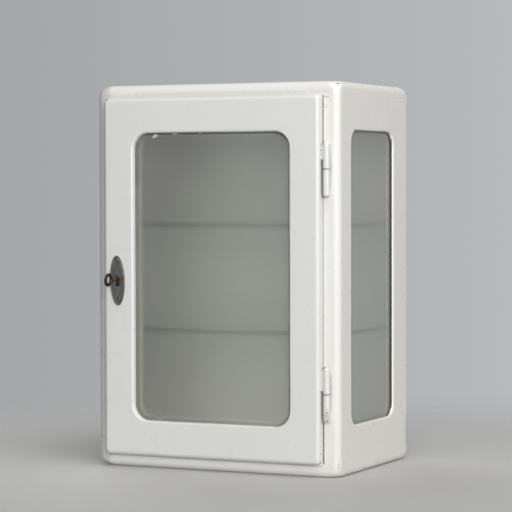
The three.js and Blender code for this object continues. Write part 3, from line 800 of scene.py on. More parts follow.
BODY_MARKS = {
    "chips": in_metres((202.3, -131.4, 595.8, 2.6, 3, 1.6)),
    "soot_and_keyhole_shade": in_metres(
        (203, 77.8, 301, 2.2, 3.4, 226),
        (202.5, 71.5, 520, 1.6, 8.5, 8.5),
        (202.5, 70, 83.5, 1.6, 10, 8.5),
    ),
    # Painted shade on the strip just above the door's top edge
    "shade_above_door": in_metres((-3, -141.8, 583.2, 240, 3, 5.2)),
    # The second entry is the door's painted shadow on the strip left of it and the last two are painted shade
    # beside the hinge barrels; the first darkens a band along the right window's top lip near the rear
    "dust_and_shade": in_metres(
        (201, 60, 529, 4, 20, 2),
        (-196, -140, 300, 14, 20, 600),
        *[(194.5, -141.8, middle, 2.4, 3, half) for middle, half in HINGE_SPANS],
    ),
    # Painted shade along the door's gap on the right, in the crease at the lower right corner, in two short
    # creases near the door's top right corner, and under the door
    "seam_shade": in_metres(
        (182.4, -141.8, 300, 1, 2, 278.5),
        (205.6, -138.5, 18.7, 0.6, 4, 4.8),
        (187, -141.8, 575.6, 5.5, 2, 0.7),
        (185, -141.8, 560.3, 4.2, 2, 0.5),
        (-3, -141.8, 17.7, 184, 2, 0.8),
    ),
    # Painted shade in the gap between the door and the body above and below the hinges, and between the door
    # and the hinge barrels
    "gap_shade": in_metres(
        (182.9, -141.8, 52.5, 1, 2, 31.5),
        (182.2, -141.8, 540, 0.8, 2, 39),
        *[(183.5, -141.8, middle, 2.6, 3, half) for middle, half in HINGE_SPANS],
    ),
    "grooves": in_metres(
        (186.5, -141.8, 575.6, 6, 3, 0.8),
        (186.5, -141.8, 560.3, 6, 3, 0.7),
        (205.6, -138.5, 18.7, 1, 4, 6.2),
        (208.5, 100, 580, 3, 30, 0.9),
    ),
    "lumps": in_metres(
        (186.5, -141.8, 568, 5, 3, 6),
        (197.5, -141, 20, 5, 3, 5),
        (189.3, -141.8, 556, 1.1, 3, 24),
        (208.5, 100, 576, 3, 30, 2),
    ),
}
DOOR_MARKS = {
    "chips": in_metres(
        (182, -151.5, 48.5, 2, 1.4, 1.3),
        (182, -151.5, 37.9, 2, 1.4, 1.2),
        (180, -150, 22, 2.4, 4, 1.6),
        (-182, -155.2, 577.2, 1.6, 3, 1.4),
    ),
    # Painted shade inside the keyhole
    "soot_and_keyhole_shade": in_metres((KEY_X, -157, KEY_Z - 3, 5, 3.3, 10)),
    "grooves": in_metres((-79.9, -157.8, 65.7, 3, 2, 2.2), (10.5, -157.8, 48.3, 2.6, 2, 2)),
}
HINGE_MARKS = {
    "chips": in_metres(
        (193.2, -153.2, 105.6, 0.9, 3, 0.8),
        (193.2, -153.2, 100.5, 1.3, 3, 1.3),
        (193.2, -153.2, 96.2, 1, 3, 0.9),
        (193.2, -153.2, 93.2, 0.9, 3, 0.8),
        (193.2, -153.2, 88.9, 1.3, 3, 1.2),
        (182.8, -151.3, 501.3, 1.2, 3, 1.3),
        (182.8, -151.3, 495.3, 1.4, 3, 1.5),
        (182.8, -151.3, 489.9, 1.1, 3, 1.2),
    ),
    "dust_and_shade": in_metres(
        *[(HINGE_X, HINGE_Y, middle - half + 1, 7.5, 7.5, 3.5) for middle, half in HINGE_SPANS],
        (193.2, -153.2, 93, 6, 6, 12),
    ),
}
GLASS_PAINT = in_metres(
    (-102.2, -148.8, 518.3, 3.4, 2, 2.4),
    (-99.5, -148.8, 520.4, 4.2, 2, 2.8),
    (-65, -148.8, 522.8, 6, 2, 1),
    (-21.7, -148.8, 523, 3, 2, 0.8),
    (-95.5, -148.8, 77.7, 0.8, 2, 2.2),
)
# Painted shade in the plate's keyhole and round it, below and right of the key's stem
PLATE_KEYHOLE_SHADE = in_metres(
    (KEY_X, -158.2, KEY_Z - 3, 5, 0.5, 10),
    (KEY_X + 0.7, -159.2, KEY_Z - 4, 2.9, 1.2, 6.8),
)
STEM_STAINS = in_metres((KEY_X, -160, KEY_Z, 3.8, 16.5, 3.8))

# Enamels by wear along the edges, unevenness and gloss, glass by roughness, metals by roughness and grain
BODY_ENAMEL = enamel("body_enamel", BODY_WHITE, BODY_CREAM, BODY_MARKS, 0.08, 0.2)
DOOR_ENAMEL = enamel("door_enamel", DOOR_WHITE, DOOR_CREAM, DOOR_MARKS, 0.12, 0.3)
HINGE_ENAMEL = enamel("hinge_enamel", DOOR_WHITE, DOOR_CREAM, HINGE_MARKS, 1.6, 2.4, (0.40, 0.54))
INNER_ENAMEL = enamel("inner_enamel", DOOR_WHITE, DOOR_CREAM, {}, 0.6, 0.4)
SEAT_ENAMEL = enamel("seat_enamel", SEAT_WHITE, DOOR_CREAM, {}, 0.3, 0.4)
# In each pair of tints the first is painted shade, used at the left, and the second is used at the right
DOOR_FROST = frosted_glass(
    "door_frosted_glass", rgb(0.56, 0.561, 0.538), rgb(0.825, 0.83, 0.805), 0.42, GLASS_PAINT)
SIDE_FROST = frosted_glass("side_frosted_glass", rgb(0.775, 0.782, 0.755), rgb(0.79, 0.797, 0.77), 0.30)
SHELF_GLASS = shelf_glass("shelf_glass")
PLATE_STEEL = metal(
    "plate_steel", rgb(0.262, 0.261, 0.248), rgb(0.184, 0.183, 0.172), 0.42, 120.0, PLATE_KEYHOLE_SHADE, SOOT_AND_KEYHOLE_SHADE)
SCREW_STEEL = metal("screw_steel", rgb(0.46, 0.455, 0.44), rgb(0.26, 0.25, 0.235), 0.34, 300.0)
DARK_SCREW_STEEL = metal("dark_screw_steel", rgb(0.24, 0.236, 0.23), rgb(0.13, 0.128, 0.125), 0.22, 300.0)
KEY_IRON = metal(
    "key_iron", rgb(0.075, 0.068, 0.060), rgb(0.030, 0.026, 0.023), 0.45, 240.0, STEM_STAINS, STEM_BROWN)
LOCK_STEEL = metal("lock_steel", rgb(0.20, 0.195, 0.185), rgb(0.12, 0.115, 0.11), 0.44)
WASHER_BRASS = metal("washer_brass", rgb(0.24, 0.18, 0.08), rgb(0.13, 0.095, 0.045), 0.4, 300.0)


# Camera, lamps and floor
def turned_to(way):
    """The turn that sets Z along a way and keeps Y as upright as it can be."""
    return way.to_track_quat("Z", "Y").to_matrix().to_4x4()


def make_camera():
    data = bpy.data.cameras.new("camera")
    data.lens = CAMERA_LENS_MM
    data.sensor_width = CAMERA_SENSOR_MM
    data.clip_start, data.clip_end = CAMERA_CLIP
    turn = turned_to((CAMERA_PLACE - CAMERA_AIM).normalized())
    item = add_object("camera", data)
    item.matrix_world = Matrix.Translation(CAMERA_PLACE) @ turn @ Matrix.Rotation(CAMERA_ROLL, 4, "Z")
    bpy.context.scene.camera = item


def make_lamp(name, azimuth, elevation, distance, size, level, colour, mirrored):
    """A soft lamp. At level 1 it alone shows a facing surface in about its own colour."""
    across = math.radians(azimuth)
    above = math.radians(elevation)
    away = Vector((
        math.sin(across) * math.cos(above),
        -math.cos(across) * math.cos(above),
        math.sin(above),
    ))
    data = bpy.data.lights.new(name, "AREA")
    data.shape = "RECTANGLE"
    data.size, data.size_y = size
    data.energy = level * math.pi ** 2 * distance ** 2
    data.color = colour
    item = add_object(name, data)
    item.matrix_world = Matrix.Translation(CAMERA_AIM + away * distance) @ turned_to(away)
    item.visible_camera = False
    item.visible_transmission = False
    item.visible_glossy = mirrored


# The background turns paler to the picture's right, and the weak light from all round is strongest in front.
# Each is given by its two colours, the way from one to the other, and the reach along it.
BACKGROUND = ((rgb(0.375, 0.38, 0.388), rgb(0.478, 0.484, 0.497)), (0.9026, 0.4305, 0.0), (-0.115, 0.115))
AMBIENT = ((rgb(0.02, 0.02, 0.02), rgb(0.72, 0.723, 0.725)), (0.643, -0.766, 0.0), (0.1, 1.0))
FLOOR_COLOUR = rgb(0.58, 0.58, 0.575)
FLOOR_ROUGHNESS = 0.6
FLOOR_SPECULAR = 0.2
FLOOR_REACH = 12.0
FLOOR_FADE = (0.3, 1.3)


def make_world():
    """A pale background for the eye and for reflections, and a weaker even light on the object."""
    world = bpy.data.worlds.new("studio")
    bpy.context.scene.world = world
    nodes = Nodes(world, "ShaderNodeOutputWorld", "Generated")
    seen = nodes.node("LightPath", {}, "Is Camera Ray")
    for ray in ("Is Glossy Ray", "Is Transmission Ray"):
        seen = nodes.most(seen, nodes.node("LightPath", {}, ray))
    lights = []
    for colours, way, reach in (AMBIENT, BACKGROUND):
        share = nodes.mapped(nodes.along(way), *reach, kind="LINEAR")
        lights.append(nodes.node("Background", {"Color": nodes.mix(share, *colours)}))
    nodes.show(nodes.node("MixShader", {0: seen, 1: lights[0], 2: lights[1]}))


def make_floor():
    """A pale floor that fades into the background away from the cabinet."""
    finish = Finish("studio_floor")
    finish.set(base_color=FLOOR_COLOUR, roughness=FLOOR_ROUGHNESS, specular_ior_level=FLOOR_SPECULAR)
    distance = finish.vector("LENGTH", finish.place)
    finish.set(alpha=finish.mapped(distance, *FLOOR_FADE, 1.0, 0.0))
    corners = [Vector((x, y, 0)) * FLOOR_REACH for x, y in ((-1, -1), (1, -1), (1, 1), (-1, 1))]
    mesh = bpy.data.meshes.new("studio_floor")
    mesh.from_pydata(corners, [], [(0, 1, 2, 3)])
    mesh.materials.append(finish.material)
    item = add_object("studio_floor", mesh)


# Body: one seamless enamelled shell with side windows, open at the front and back
def wall_with_opening(skin, edge_rect, outside, inside, opening):
    """A flat front or rear wall round a plain opening: outer face, cut edge, inner face."""
    edge = outline(edge_rect, 0.0)
    hole = outline(opening, OPENING_CORNER)
    rim = facing_front(hole, outside)
    lip = facing_front(hole, inside)
    skin.strip(bridge(facing_front(edge, outside), rim, WALL_RINGS))
    skin.strip([rim, lip], wear=1.0)
    skin.strip(bridge(lip, facing_front(edge, inside), WALL_RINGS))


def wall_with_window(skin, edge_rect, outside, inwards):
    """A side wall with a window: a flared edge that turns in to a short lip."""
    edge = outline(edge_rect, 0.0)
    flare = side_window_loop(SIDE_WINDOW_EDGE, outside)
    skin.strip(bridge(facing_side(edge, outside), flare, FACE_RINGS))
    lip_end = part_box("right_pane")[1].x * (1 if outside > 0 else -1)
    bend = window_lip(side_window_loop, SIDE_WINDOW_EDGE, outside, inwards, lip_end)
    skin.strip(bend, wear=1.0)
    root = outside + inwards * SHEET
    near = side_window_loop(SHEET, root)
    skin.strip([bend[-1], side_window_loop(SHEET, lip_end), near])
    skin.strip(bridge(near, facing_side(edge, root), WALL_RINGS))


def rounded_box(skin, radius):
    """The rounded edges, top and underside of a box whose roundings share the body's centres."""
    core_low = BODY_LOW + Vector((BODY_EDGE,) * 3)
    core_high = BODY_HIGH - Vector((BODY_EDGE,) * 3)
    core = (core_low.x, core_low.y, core_high.x, core_high.y)
    for z, direction in ((core_low.z, -1), (core_high.z, 1)):
        rows = []
        for angle in quarter():
            reach = radius * math.sin(angle)
            rows.append(loop(facing_up, core, 0.0, reach, z + direction * radius * math.cos(angle)))
        skin.strip(rows, wear=1.0)
        level = z + direction * radius
        across = stations(core_low.x, core_high.x)
        along = stations(core_low.y, core_high.y)
        skin.strip([[Vector((x, y, level)) for x in across] for y in along], closed=False)
    heights = stations(core_low.z, core_high.z)
    for arc in corner_arcs(core, radius):
        skin.strip([facing_up(arc, z) for z in heights], closed=False, wear=1.0)


def round_corners(skin):
    """Rounds the body's eight corners further in plan, most of all at the top and the underside."""
    for vert in skin.mesh.verts:
        depth = min(vert.co.z - BODY_LOW.z, BODY_HIGH.z - vert.co.z)
        if depth >= BODY_CORNER_DEPTH:
            continue
        above = max(BODY_EDGE - depth, 0.0)
        own = math.sqrt(max(BODY_EDGE ** 2 - above ** 2, 0.0))
        wide = own + BODY_CORNER_SPREAD * (1 - max(depth, 0.0) / BODY_CORNER_DEPTH) ** 2
        start_x = BODY_HIGH.x - BODY_EDGE + own - wide
        start_y = BODY_HIGH.y - BODY_EDGE + own - wide
        u = abs(vert.co.x) - start_x
        v = abs(vert.co.y) - start_y
        if u <= 0 or v <= 0:
            continue
        length = math.hypot(u, v)
        most = max(u, v) / length
        least = min(u, v) / length
        reach = wide / most
        if reach * least > wide - own:
            lean = (wide - own) * (most + least)
            reach = lean + math.sqrt(max(lean ** 2 - 2 * (wide - own) ** 2 + own ** 2, 0.0))
        vert.co.x = math.copysign(start_x + u * wide / reach, vert.co.x)
        vert.co.y = math.copysign(start_y + v * wide / reach, vert.co.y)


def body_shell():
    skin = Skin()
    rounded_box(skin, BODY_EDGE)
    rounded_box(skin, BODY_EDGE - SHEET)
    across = grow((BODY_LOW.x, BODY_LOW.z, BODY_HIGH.x, BODY_HIGH.z), -BODY_EDGE)
    along = grow((BODY_LOW.y, BODY_LOW.z, BODY_HIGH.y, BODY_HIGH.z), -BODY_EDGE)
    rear = (BODY_LOW.x + REAR_FLANGE, FRONT_OPENING[1], BODY_HIGH.x - REAR_FLANGE, FRONT_OPENING[3])
    wall_with_opening(skin, across, BODY_LOW.y, BODY_LOW.y + SHEET, FRONT_OPENING)
    wall_with_opening(skin, across, BODY_HIGH.y, BODY_HIGH.y - SHEET, rear)
    wall_with_window(skin, along, BODY_HIGH.x, -1)
    wall_with_window(skin, along, BODY_LOW.x, 1)
    skin.sew()
    round_corners(skin)
    skin.waver(BODY_WAVER, *BODY_WAVES)
    skin.dent(*REAR_DENT)
    # The shell shrinks by as much as it wavers, and so stays inside the frame's box
    for vert in skin.mesh.verts:
        vert.co.x *= 1 - BODY_WAVER / BODY_HIGH.x
        vert.co.y *= 1 - BODY_WAVER / BODY_HIGH.y
        vert.co.z = max(vert.co.z * (1 - BODY_WAVER / BODY_HIGH.z), BODY_LOW.z)
    piece("body_shell", skin, BODY_ENAMEL, "body", "enamel",
          "top_pan", "bottom_pan", "left_side_panel", "right_side_panel")


# Door: a pressed pan with a lipped window and a rear flange
def keyhole():
    """The keyhole's outline: a round top and a straight slot below it."""
    half = KEY_SLOT_WIDTH / 2
    corner = math.asin(half / KEYHOLE_RADIUS)
    x = KEY_AXIS.x
    z = KEY_AXIS.z + KEYHOLE_RISE
    points = [(x - half, z - KEY_SLOT_DROP), (x + half, z - KEY_SLOT_DROP)]
    for step in range(TURN_STEPS + 1):
        angle = -math.pi / 2 + corner + (2 * math.pi - 2 * corner) * step / TURN_STEPS
        points.append((x + KEYHOLE_RADIUS * math.cos(angle), z + KEYHOLE_RADIUS * math.sin(angle)))
    return points


def keyhole_cut(skin, name, y0, y1):
    """The skin's mesh with the keyhole cut through it between two depths."""
    cutter = Skin()
    rows = [facing_front(keyhole(), y) for y in (y0, y1)]
    cutter.strip(rows)
    cutter.close(rows)
    return cut_away(skin.to_mesh(name), cutter.to_mesh("keyhole"))


def door_shell():
    skin = Skin()
    face, rear = DOOR_LOW.y, DOOR_HIGH.y
    pane_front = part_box("door_pane")[0].y
    flange = outline(grow(DOOR_RECT, -DOOR_FLANGE), PANE_CORNER)
    fold = door_loop(-FOLD, rear)
    skin.strip([facing_front(flange, rear), fold])
    bend = [fold, door_loop(0.0, rear - FOLD)]
    for angle in quarter():
        depth = DOOR_EDGE * (1 - math.sin(angle))
        bend.append(door_loop(-DOOR_EDGE * (1 - math.cos(angle)), face + depth))
    skin.strip(bend, wear=1.0)
    lip = window_lip(door_window_loop, DOOR_WINDOW_EDGE, face, 1, pane_front)
    skin.strip(bridge(bend[-1], lip[0], FACE_RINGS))
    skin.strip(lip, wear=1.0)
    skin.strip([
        lip[-1],
        door_window_loop(SHEET, pane_front),
        door_window_loop(SHEET, face + DOOR_WINDOW_EDGE),
        door_window_loop(DOOR_WINDOW_EDGE, face + SHEET),
        door_loop(-DOOR_EDGE, face + SHEET),
        door_loop(-SHEET, face + DOOR_EDGE),
        door_loop(-SHEET, rear - SHEET),
        facing_front(flange, rear - SHEET),
        facing_front(flange, rear),
    ])
    skin.sew()
    skin.waver(DOOR_WAVER, *DOOR_WAVES)
    mesh = keyhole_cut(skin, "door_shell", face - CUT_SPARE, face + 2 * CUT_SPARE)
    piece("door_shell", mesh, DOOR_ENAMEL, "door", "enamel", "door_panel")


def door_back_frame():
    """The sheet behind the door: plate, rib against the pane, and an edge turned in at the sight line."""
    skin = Skin()
    turned_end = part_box("door_inner_frame")[1].y
    pane_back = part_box("door_pane")[1].y
    plate_front = DOOR_HIGH.y
    plate_back = plate_front + SHEET
    edge = outline(front_rect("door_inner_frame"), PANE_CORNER)
    skin.strip([
        facing_front(edge, plate_front),
        facing_front(edge, plate_back),
        door_window_loop(SHEET - SIGHT_LAP, plate_back),
        door_window_loop(SHEET - SIGHT_LAP, turned_end),
        door_window_loop(-SIGHT_LAP, turned_end),
        door_window_loop(-SIGHT_LAP, pane_back),
        door_window_loop(RIB_LAP, pane_back),
        door_window_loop(RIB_LAP, plate_front),
        facing_front(edge, plate_front),
    ])
    skin.sew()
    skin.bevel(FRAME_BEVEL)
    mesh = keyhole_cut(skin, "door_back_frame", plate_front - CUT_SPARE, plate_back + CUT_SPARE)
    piece("door_back_frame", mesh, INNER_ENAMEL, "door", "enamel", "door_inner_frame")


def pane_frame(side):
    """The frame that holds a side pane against its window's lip."""
    skin = Skin()
    sign = 1 if side == "right" else -1
    node = side + "_pane_frame"
    inner, outer = [sign * reach for reach in sorted(abs(corner.x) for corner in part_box(node))]
    seat = sign * min(abs(corner.x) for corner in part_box(side + "_pane"))
    edge = outline(side_rect(node), PANE_CORNER)
    pocket = outline(grow(SIDE_WINDOW, PANE_LAP + FIT), PANE_CORNER + FIT)
    skin.strip([
        facing_side(edge, outer),
        facing_side(edge, inner),
        side_window_loop(-SIGHT_LAP, inner),
        side_window_loop(-SIGHT_LAP, seat),
        facing_side(pocket, seat),
        facing_side(pocket, outer),
        facing_side(edge, outer),
    ])
    skin.sew()
    skin.bevel(HOLDER_BEVEL)
    piece(side + "_pane_holder", skin, SEAT_ENAMEL, "body", "enamel", node)


# Glass
def slab(plane, rect, corner, edge, near, far):
    """A plate with round corners and ground edges between two depths."""
    skin = Skin()
    inwards = 1 if far > near else -1
    rows = []
    angles = quarter(GROUND_STEPS)
    for start, way, turns in ((near, inwards, angles), (far, -inwards, angles[::-1])):
        for angle in turns:
            depth = start + way * edge * (1 - math.cos(angle))
            rows.append(loop(plane, rect, corner, -edge * (1 - math.sin(angle)), depth))
    skin.strip(rows)
    skin.close(rows)
    return skin


def glass_pieces():
    low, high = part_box("door_pane")
    skin = slab(facing_front, front_rect("door_pane"), PANE_CORNER, PANE_EDGE, low.y, high.y)
    piece("door_glass", skin, DOOR_FROST, "door", "frosted_glass", "door_pane")
    for side in ("right", "left"):
        node = side + "_pane"
        low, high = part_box(node)
        skin = slab(facing_side, side_rect(node), PANE_CORNER, PANE_EDGE, low.x, high.x)
        piece(side + "_glass", skin, SIDE_FROST, "body", "frosted_glass", node)
    for level in LEVELS:
        node = level + "_shelf"
        low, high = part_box(node)
        skin = slab(facing_up, (low.x, low.y, high.x, high.y), SHELF_CORNER, SHELF_EDGE, low.z, high.z)
        piece(level + "_shelf_glass", skin, SHELF_GLASS, "body", "shelf_glass", node)


# Hinges
def knuckle(name, node, body, dome_up, toward, tang_half, reach, weld_inset):
    """A turned knuckle with a domed end, a bored flat end and a welded tang towards its leaf."""
    skin = Skin()
    low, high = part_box(node)
    axis = Vector((HINGE_AXIS.x, HINGE_AXIS.y))
    radius = axis.y - low.y
    dome_end, flat_end = (high.z, low.z) if dome_up else (low.z, high.z)
    inwards = -1 if dome_up else 1
    aim = math.atan2(toward[1], toward[0])
    fillet = [tang_half + spread for spread in TANG_FILLET]

    def ring(z, r, tang=0.0):
        points = []
        for along, across in circle((0, 0), r, TURN_STEPS):
            if along > 0:
                along += (reach - along) * tang * smooth(*fillet, abs(across))
            x = axis.x + along * math.cos(aim) - across * math.sin(aim)
            y = axis.y + along * math.sin(aim) + across * math.cos(aim)
            points.append(Vector((x, y, z)))
        return points

    rows = []
    for angle in quarter():
        height = dome_end + inwards * HINGE_DOME * (1 - math.cos(angle))
        rows.append(ring(height, radius * math.sin(angle) + WELD))
    start = dome_end + inwards * HINGE_TANG_INSET
    end = flat_end - inwards * weld_inset
    rows.append(ring(start - inwards * TANG_STEP, radius))
    for step in range(TANG_ROWS + 1):
        rows.append(ring(start + (end - start) * step / TANG_ROWS, radius, 1.0))
    rows += [
        ring(end + inwards * TANG_STEP, radius),
        ring(flat_end - inwards * FOLD, radius),
        ring(flat_end, radius - FOLD),
        ring(flat_end, HINGE_BORE),
        ring(flat_end - inwards * HINGE_BORE_DEPTH, HINGE_BORE),
    ]
    skin.strip(rows, wear=1.0)
    skin.close(rows)
    piece(name, skin, HINGE_ENAMEL, body, "enamel", node)


def standing(node, clearance=0.0):
    """Foot, height and radius of a round node on the hinge axis, less a clearance at each end."""
    low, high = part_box(node)
    foot = Vector((HINGE_AXIS.x, HINGE_AXIS.y, low.z + clearance))
    return foot, high.z - low.z - 2 * clearance, (high.x - low.x) / 2


def hinge_pieces():
    to_body = BODY_LOW.y - HINGE_AXIS.y
    to_door = HINGE_AXIS.x - DOOR_HIGH.x
    for level in LEVELS:
        hinge = level + "_hinge_"
        door_inset = HINGE_WELD_INSET if level == "upper" else HINGE_TANG_INSET
        knuckle(hinge + "fixed_barrel", hinge + "frame_knuckle", "body", False, (0, 1),
                HINGE_FRAME_TANG, to_body, HINGE_TANG_INSET)
        knuckle(hinge + "moving_barrel", hinge + "door_knuckle", "door", True, (-1, 0),
                HINGE_DOOR_TANG, to_door, door_inset)
        foot, length, radius = standing(hinge + "pin")
        skin = Skin()
        skin.close(skin.turned(foot, UP, [
            (0.0, radius - PIN_CHAMFER), (PIN_CHAMFER, radius), (length / 2, radius),
            (length - PIN_CHAMFER, radius), (length - PIN_CHAMFER / 3, radius - PIN_CHAMFER / 2),
            (length, radius - PIN_CHAMFER * PIN_TIP),
        ]))
        piece(hinge + "turned_pin", skin, SCREW_STEEL, "body", "bright_steel", hinge + "pin")
        foot, thick, radius = standing(hinge + "washer", RING_CLEARANCE)
        soft = thick / 5
        skin = Skin()
        skin.turned(foot, UP, [
            (0.0, HINGE_BORE + soft), (0.0, radius - soft), (soft, radius), (thick - soft, radius),
            (thick, radius - soft), (thick, HINGE_BORE + soft), (thick - soft, HINGE_BORE),
            (soft, HINGE_BORE), (0.0, HINGE_BORE + soft),
        ])
        skin.sew()
        piece(hinge + "brass_ring", skin, WASHER_BRASS, "body", "washer_brass", hinge + "washer")


# Screws: a turned head and shank with a cut slot, made once along Z and placed on every screw
def screw_blank(head, length, shank, radius):
    """A slotted screw, from its head's profile, its length, its shank's length and its head's radius."""
    point = [(0.0, SCREW_SHANK * SCREW_POINT_SHARE), (SCREW_POINT, SCREW_SHANK), (shank, SCREW_SHANK)]
    skin = Skin()
    skin.close(skin.turned((0, 0, 0), UP, point + head, SCREW_STEPS))
    slot = Skin()
    half = SLOT_WIDTH / 2
    slot.block((-2 * radius, -half, length - SLOT_DEPTH), (2 * radius, half, length + SLOT_DEPTH))
    slot.sew()
    return cut_away(skin.to_mesh("screw_blank"), slot.to_mesh("slot"))


def pan_head_screw(length):
    radius, height = PAN_HEAD
    shank = length - height
    less, rise = HEAD_CHAMFER
    head = [(shank, radius - less), (shank + rise, radius)]
    for angle in quarter(HEAD_STEPS):
        top = shank + height * (PAN_UPRIGHT + (1 - PAN_UPRIGHT) * math.sin(angle))
        round_off = radius * (PAN_FLAT + (1 - PAN_FLAT) * math.cos(angle)) - less
        head.append((top, max(round_off, SCREW_TIP)))
    return screw_blank(head, length, shank, radius)


def sunk_head_screw(length):
    """A head that sits a little deep in its seat and swells to the plate's face in the middle."""
    radius, height = SUNK_HEAD
    rim = length - SUNK_DOME
    head = [(rim, radius - SUNK_RIM)]
    for angle in quarter(HEAD_STEPS)[1:]:
        head.append((rim + SUNK_DOME * math.sin(angle), max(radius * math.cos(angle), SCREW_TIP)))
    return screw_blank(head, length, length - height, radius)


def place_screw(node, blank, way, body, slot_turn, steel):
    """Sets a copy of the blank in a node's place, its head towards the way given."""
    low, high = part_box(node)
    middle = (low + high) / 2
    reach = abs((high - low).dot(way)) / 2
    mesh = blank.copy()
    spin = Matrix.Rotation(slot_turn, 4, "Z")
    mesh.transform(Matrix.Translation(middle - way * reach) @ turned_to(way) @ spin)
    piece(node + "_slotted", mesh, steel, body, "bright_steel", node)


def screws():
    families = (
        ("door_inner_frame_screw_", 8, (0, 1, 0), "door", pan_head_screw, SCREW_STEEL),
        ("lock_screw_", 2, (0, 1, 0), "door", pan_head_screw, SCREW_STEEL),
        ("key_plate_screw_", 2, (0, -1, 0), "door", sunk_head_screw, DARK_SCREW_STEEL),
        ("right_pane_frame_screw_", 4, (-1, 0, 0), "body", pan_head_screw, SCREW_STEEL),
        ("left_pane_frame_screw_", 4, (1, 0, 0), "body", pan_head_screw, SCREW_STEEL),
    )
    for prefix, count, head_way, body, shape, steel in families:
        low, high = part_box(prefix + "1")
        way = Vector(head_way)
        blank = shape(abs((high - low).dot(way)))
        for index in range(1, count + 1):
            slot_turn = math.radians(SLOT_TURN[0] * index + SLOT_TURN[1] * len(prefix))
            place_screw(prefix + str(index), blank, way, body, slot_turn, steel)


# Key, keyhole plate and lock
def key_piece():
    """A bow bent to a ring, a stem with a collar, and a bit with a ward cut out of it."""
    low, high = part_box("key")
    bow = Vector((0.0, low.y + KEY_BOW_RADIUS + KEY_WIRE, 0.0))
    skin = Skin()
    rows = []
    for along, above in circle((0, 0), 1.0, TURN_STEPS):
        way = Vector((0.0, along, above))
        rows.append([
            bow + way * (KEY_BOW_RADIUS + u) + Vector((v, 0.0, 0.0))
            for u, v in circle((0, 0), KEY_WIRE, WIRE_STEPS)
        ])
    skin.strip(rows + [rows[0]])
    start = bow.y + KEY_BOW_RADIUS - KEY_WIRE / 2
    length = high.y - start
    tip, taper = KEY_STEM_TIP
    skin.close(skin.turned((0.0, start, 0.0), (0, 1, 0), [
        (0.0, KEY_STEM), *COLLAR_PROFILE, (length - tip, KEY_STEM), (length, KEY_STEM - taper),
    ], SCREW_STEPS))
    half = KEY_BIT_THICKNESS / 2
    near, far = KEY_BIT_PLACE
    tooth = (far - near) * BIT_TOOTH
    skin.block((-half, near, -KEY_BIT_REACH * BIT_ROOT), (half, far, 0.0))
    skin.block((-half, near, -KEY_BIT_REACH), (half, near + tooth, 0.0))
    skin.block((-half, far - tooth, -KEY_BIT_REACH), (half, far, 0.0))
    mesh = fused(skin.to_mesh("key_blank"), KEY_GRAIN, KEY_SMOOTHING)
    mesh.transform(Matrix.Translation((KEY_AXIS.x, 0.0, KEY_AXIS.z)) @ Matrix.Rotation(KEY_TURN, 4, "Y"))
    piece("ring_key", mesh, KEY_IRON, "key", "blackened_iron", "key")


def key_plate_piece():
    """An oval plate with a rounded rim, a shallow line round its face, a keyhole and two sunk screw seats."""
    low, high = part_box("key_plate")
    middle = ((low.x + high.x) / 2, (low.z + high.z) / 2)
    half_u, half_v = KEY_PLATE_SIZE[0] / 2, KEY_PLATE_SIZE[1] / 2

    def rim(inset, y):
        return facing_front(oval(middle, half_u - inset, half_v - inset, KEY_PLATE_LEAN, PLATE_STEPS), y)

    rows = [rim(0.0, high.y)]
    for angle in quarter(PLATE_EDGE_STEPS):
        inset = KEY_PLATE_EDGE * (1 - math.cos(angle))
        rows.append(rim(inset, low.y + KEY_PLATE_EDGE * (1 - math.sin(angle))))
    rows += [rim(inset, low.y + depth) for inset, depth in PLATE_LINE]
    skin = Skin()
    skin.strip(rows)
    hole = [facing_front(keyhole(), y) for y in (low.y, high.y)]
    skin.strip(hole)
    front_loops = [rows[-1], hole[0]]
    rear_loops = [rows[0], hole[1]]
    for index in (1, 2):
        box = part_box("key_plate_screw_" + str(index))
        centre = ((box[0].x + box[1].x) / 2, (box[0].z + box[1].z) / 2)
        narrow = circle(centre, SCREW_SHANK + FIT, SCREW_STEPS)
        seat = [
            facing_front(circle(centre, SUNK_HEAD[0] + FIT, SCREW_STEPS), low.y),
            facing_front(narrow, low.y + SUNK_HEAD[1]),
            facing_front(narrow, high.y),
        ]
        front_loops.append(seat[0])
        rear_loops.append(seat[-1])
        skin.strip(seat)
    skin.fill(front_loops)
    skin.fill(rear_loops)
    skin.sew()
    piece("oval_key_plate", skin, PLATE_STEEL, "door", "dark_steel", "key_plate")


def softened_copy(name, node, width, material, body, slot):
    """A node's own form with its edges rounded over."""
    skin = Skin()
    skin.mesh.from_mesh(frame["nodes"][node].data)
    bmesh.ops.remove_doubles(skin.mesh, verts=skin.mesh.verts, dist=WELD)
    bmesh.ops.dissolve_limit(skin.mesh, angle_limit=FLAT, verts=skin.mesh.verts, edges=skin.mesh.edges)
    skin.bevel(width, COPY_BEVEL_STEPS)
    bmesh.ops.triangulate(skin.mesh, faces=[face for face in skin.mesh.faces if len(face.verts) > 4])
    piece(name, skin, material, body, slot, node)


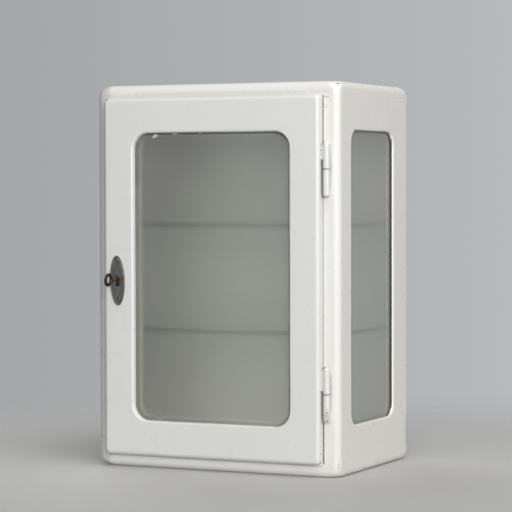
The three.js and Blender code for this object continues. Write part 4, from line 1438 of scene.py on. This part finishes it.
def lock_and_brackets():
    softened_copy("lock_folded_case", "lock_case", CASE_BEVEL, LOCK_STEEL, "door", "dark_steel")
    softened_copy("lock_face_plate", "lock_cover", COVER_BEVEL, LOCK_STEEL, "door", "dark_steel")
    softened_copy("lock_sliding_bolt", "lock_bolt", BOLT_BEVEL, SCREW_STEEL, "bolt", "bright_steel")
    for level in LEVELS:
        for end in ("front_left", "front_right", "rear_left", "rear_right"):
            node = level + "_shelf_bracket_" + end
            name = level + "_" + end + "_shelf_rest"
            softened_copy(name, node, BRACKET_BEVEL, INNER_ENAMEL, "body", "enamel")


def back_sheet():
    """The sheet of the back, a little uneven between its fixed edges."""
    low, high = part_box("back_panel")
    rect = front_rect("back_panel")
    skin = slab(facing_front, rect, BACK_CORNER, BACK_EDGE, low.y, high.y)
    for face in [face for face in skin.mesh.faces if len(face.verts) > 4]:
        bmesh.ops.delete(skin.mesh, geom=[face], context="FACES_ONLY")
    for y in (low.y, high.y):
        edge = loop(facing_front, rect, BACK_CORNER, -BACK_EDGE, y)
        middle = Vector(((low.x + high.x) / 2, y, (low.z + high.z) / 2))
        loops = bridge(edge, [middle] * len(edge), BACK_RINGS)[:-1]
        skin.strip(loops)
        skin.cap(loops[-1])
    skin.sew()
    for vert in skin.mesh.verts:
        inside = min(vert.co.x - low.x, high.x - vert.co.x, vert.co.z - low.z, high.z - vert.co.z)
        swell = noise.noise(Vector((vert.co.x, 0.0, vert.co.z)) * BACK_WAVES)
        vert.co.y -= BACK_SWELL * smooth(*BACK_SWELL_REACH, inside) * (0.5 + swell)
    piece("back_sheet", skin, INNER_ENAMEL, "body", "enamel", "back_panel")


def main():
    make_camera()
    make_world()
    make_floor()
    for name, values in LAMPS.items():
        make_lamp(name, *values)
    noise.seed_set(NOISE_SEED)
    body_shell()
    door_shell()
    door_back_frame()
    pane_frame("right")
    pane_frame("left")
    glass_pieces()
    hinge_pieces()
    screws()
    key_piece()
    key_plate_piece()
    lock_and_brackets()
    back_sheet()
    bpy.context.scene.view_settings.view_transform = "Standard"


main()
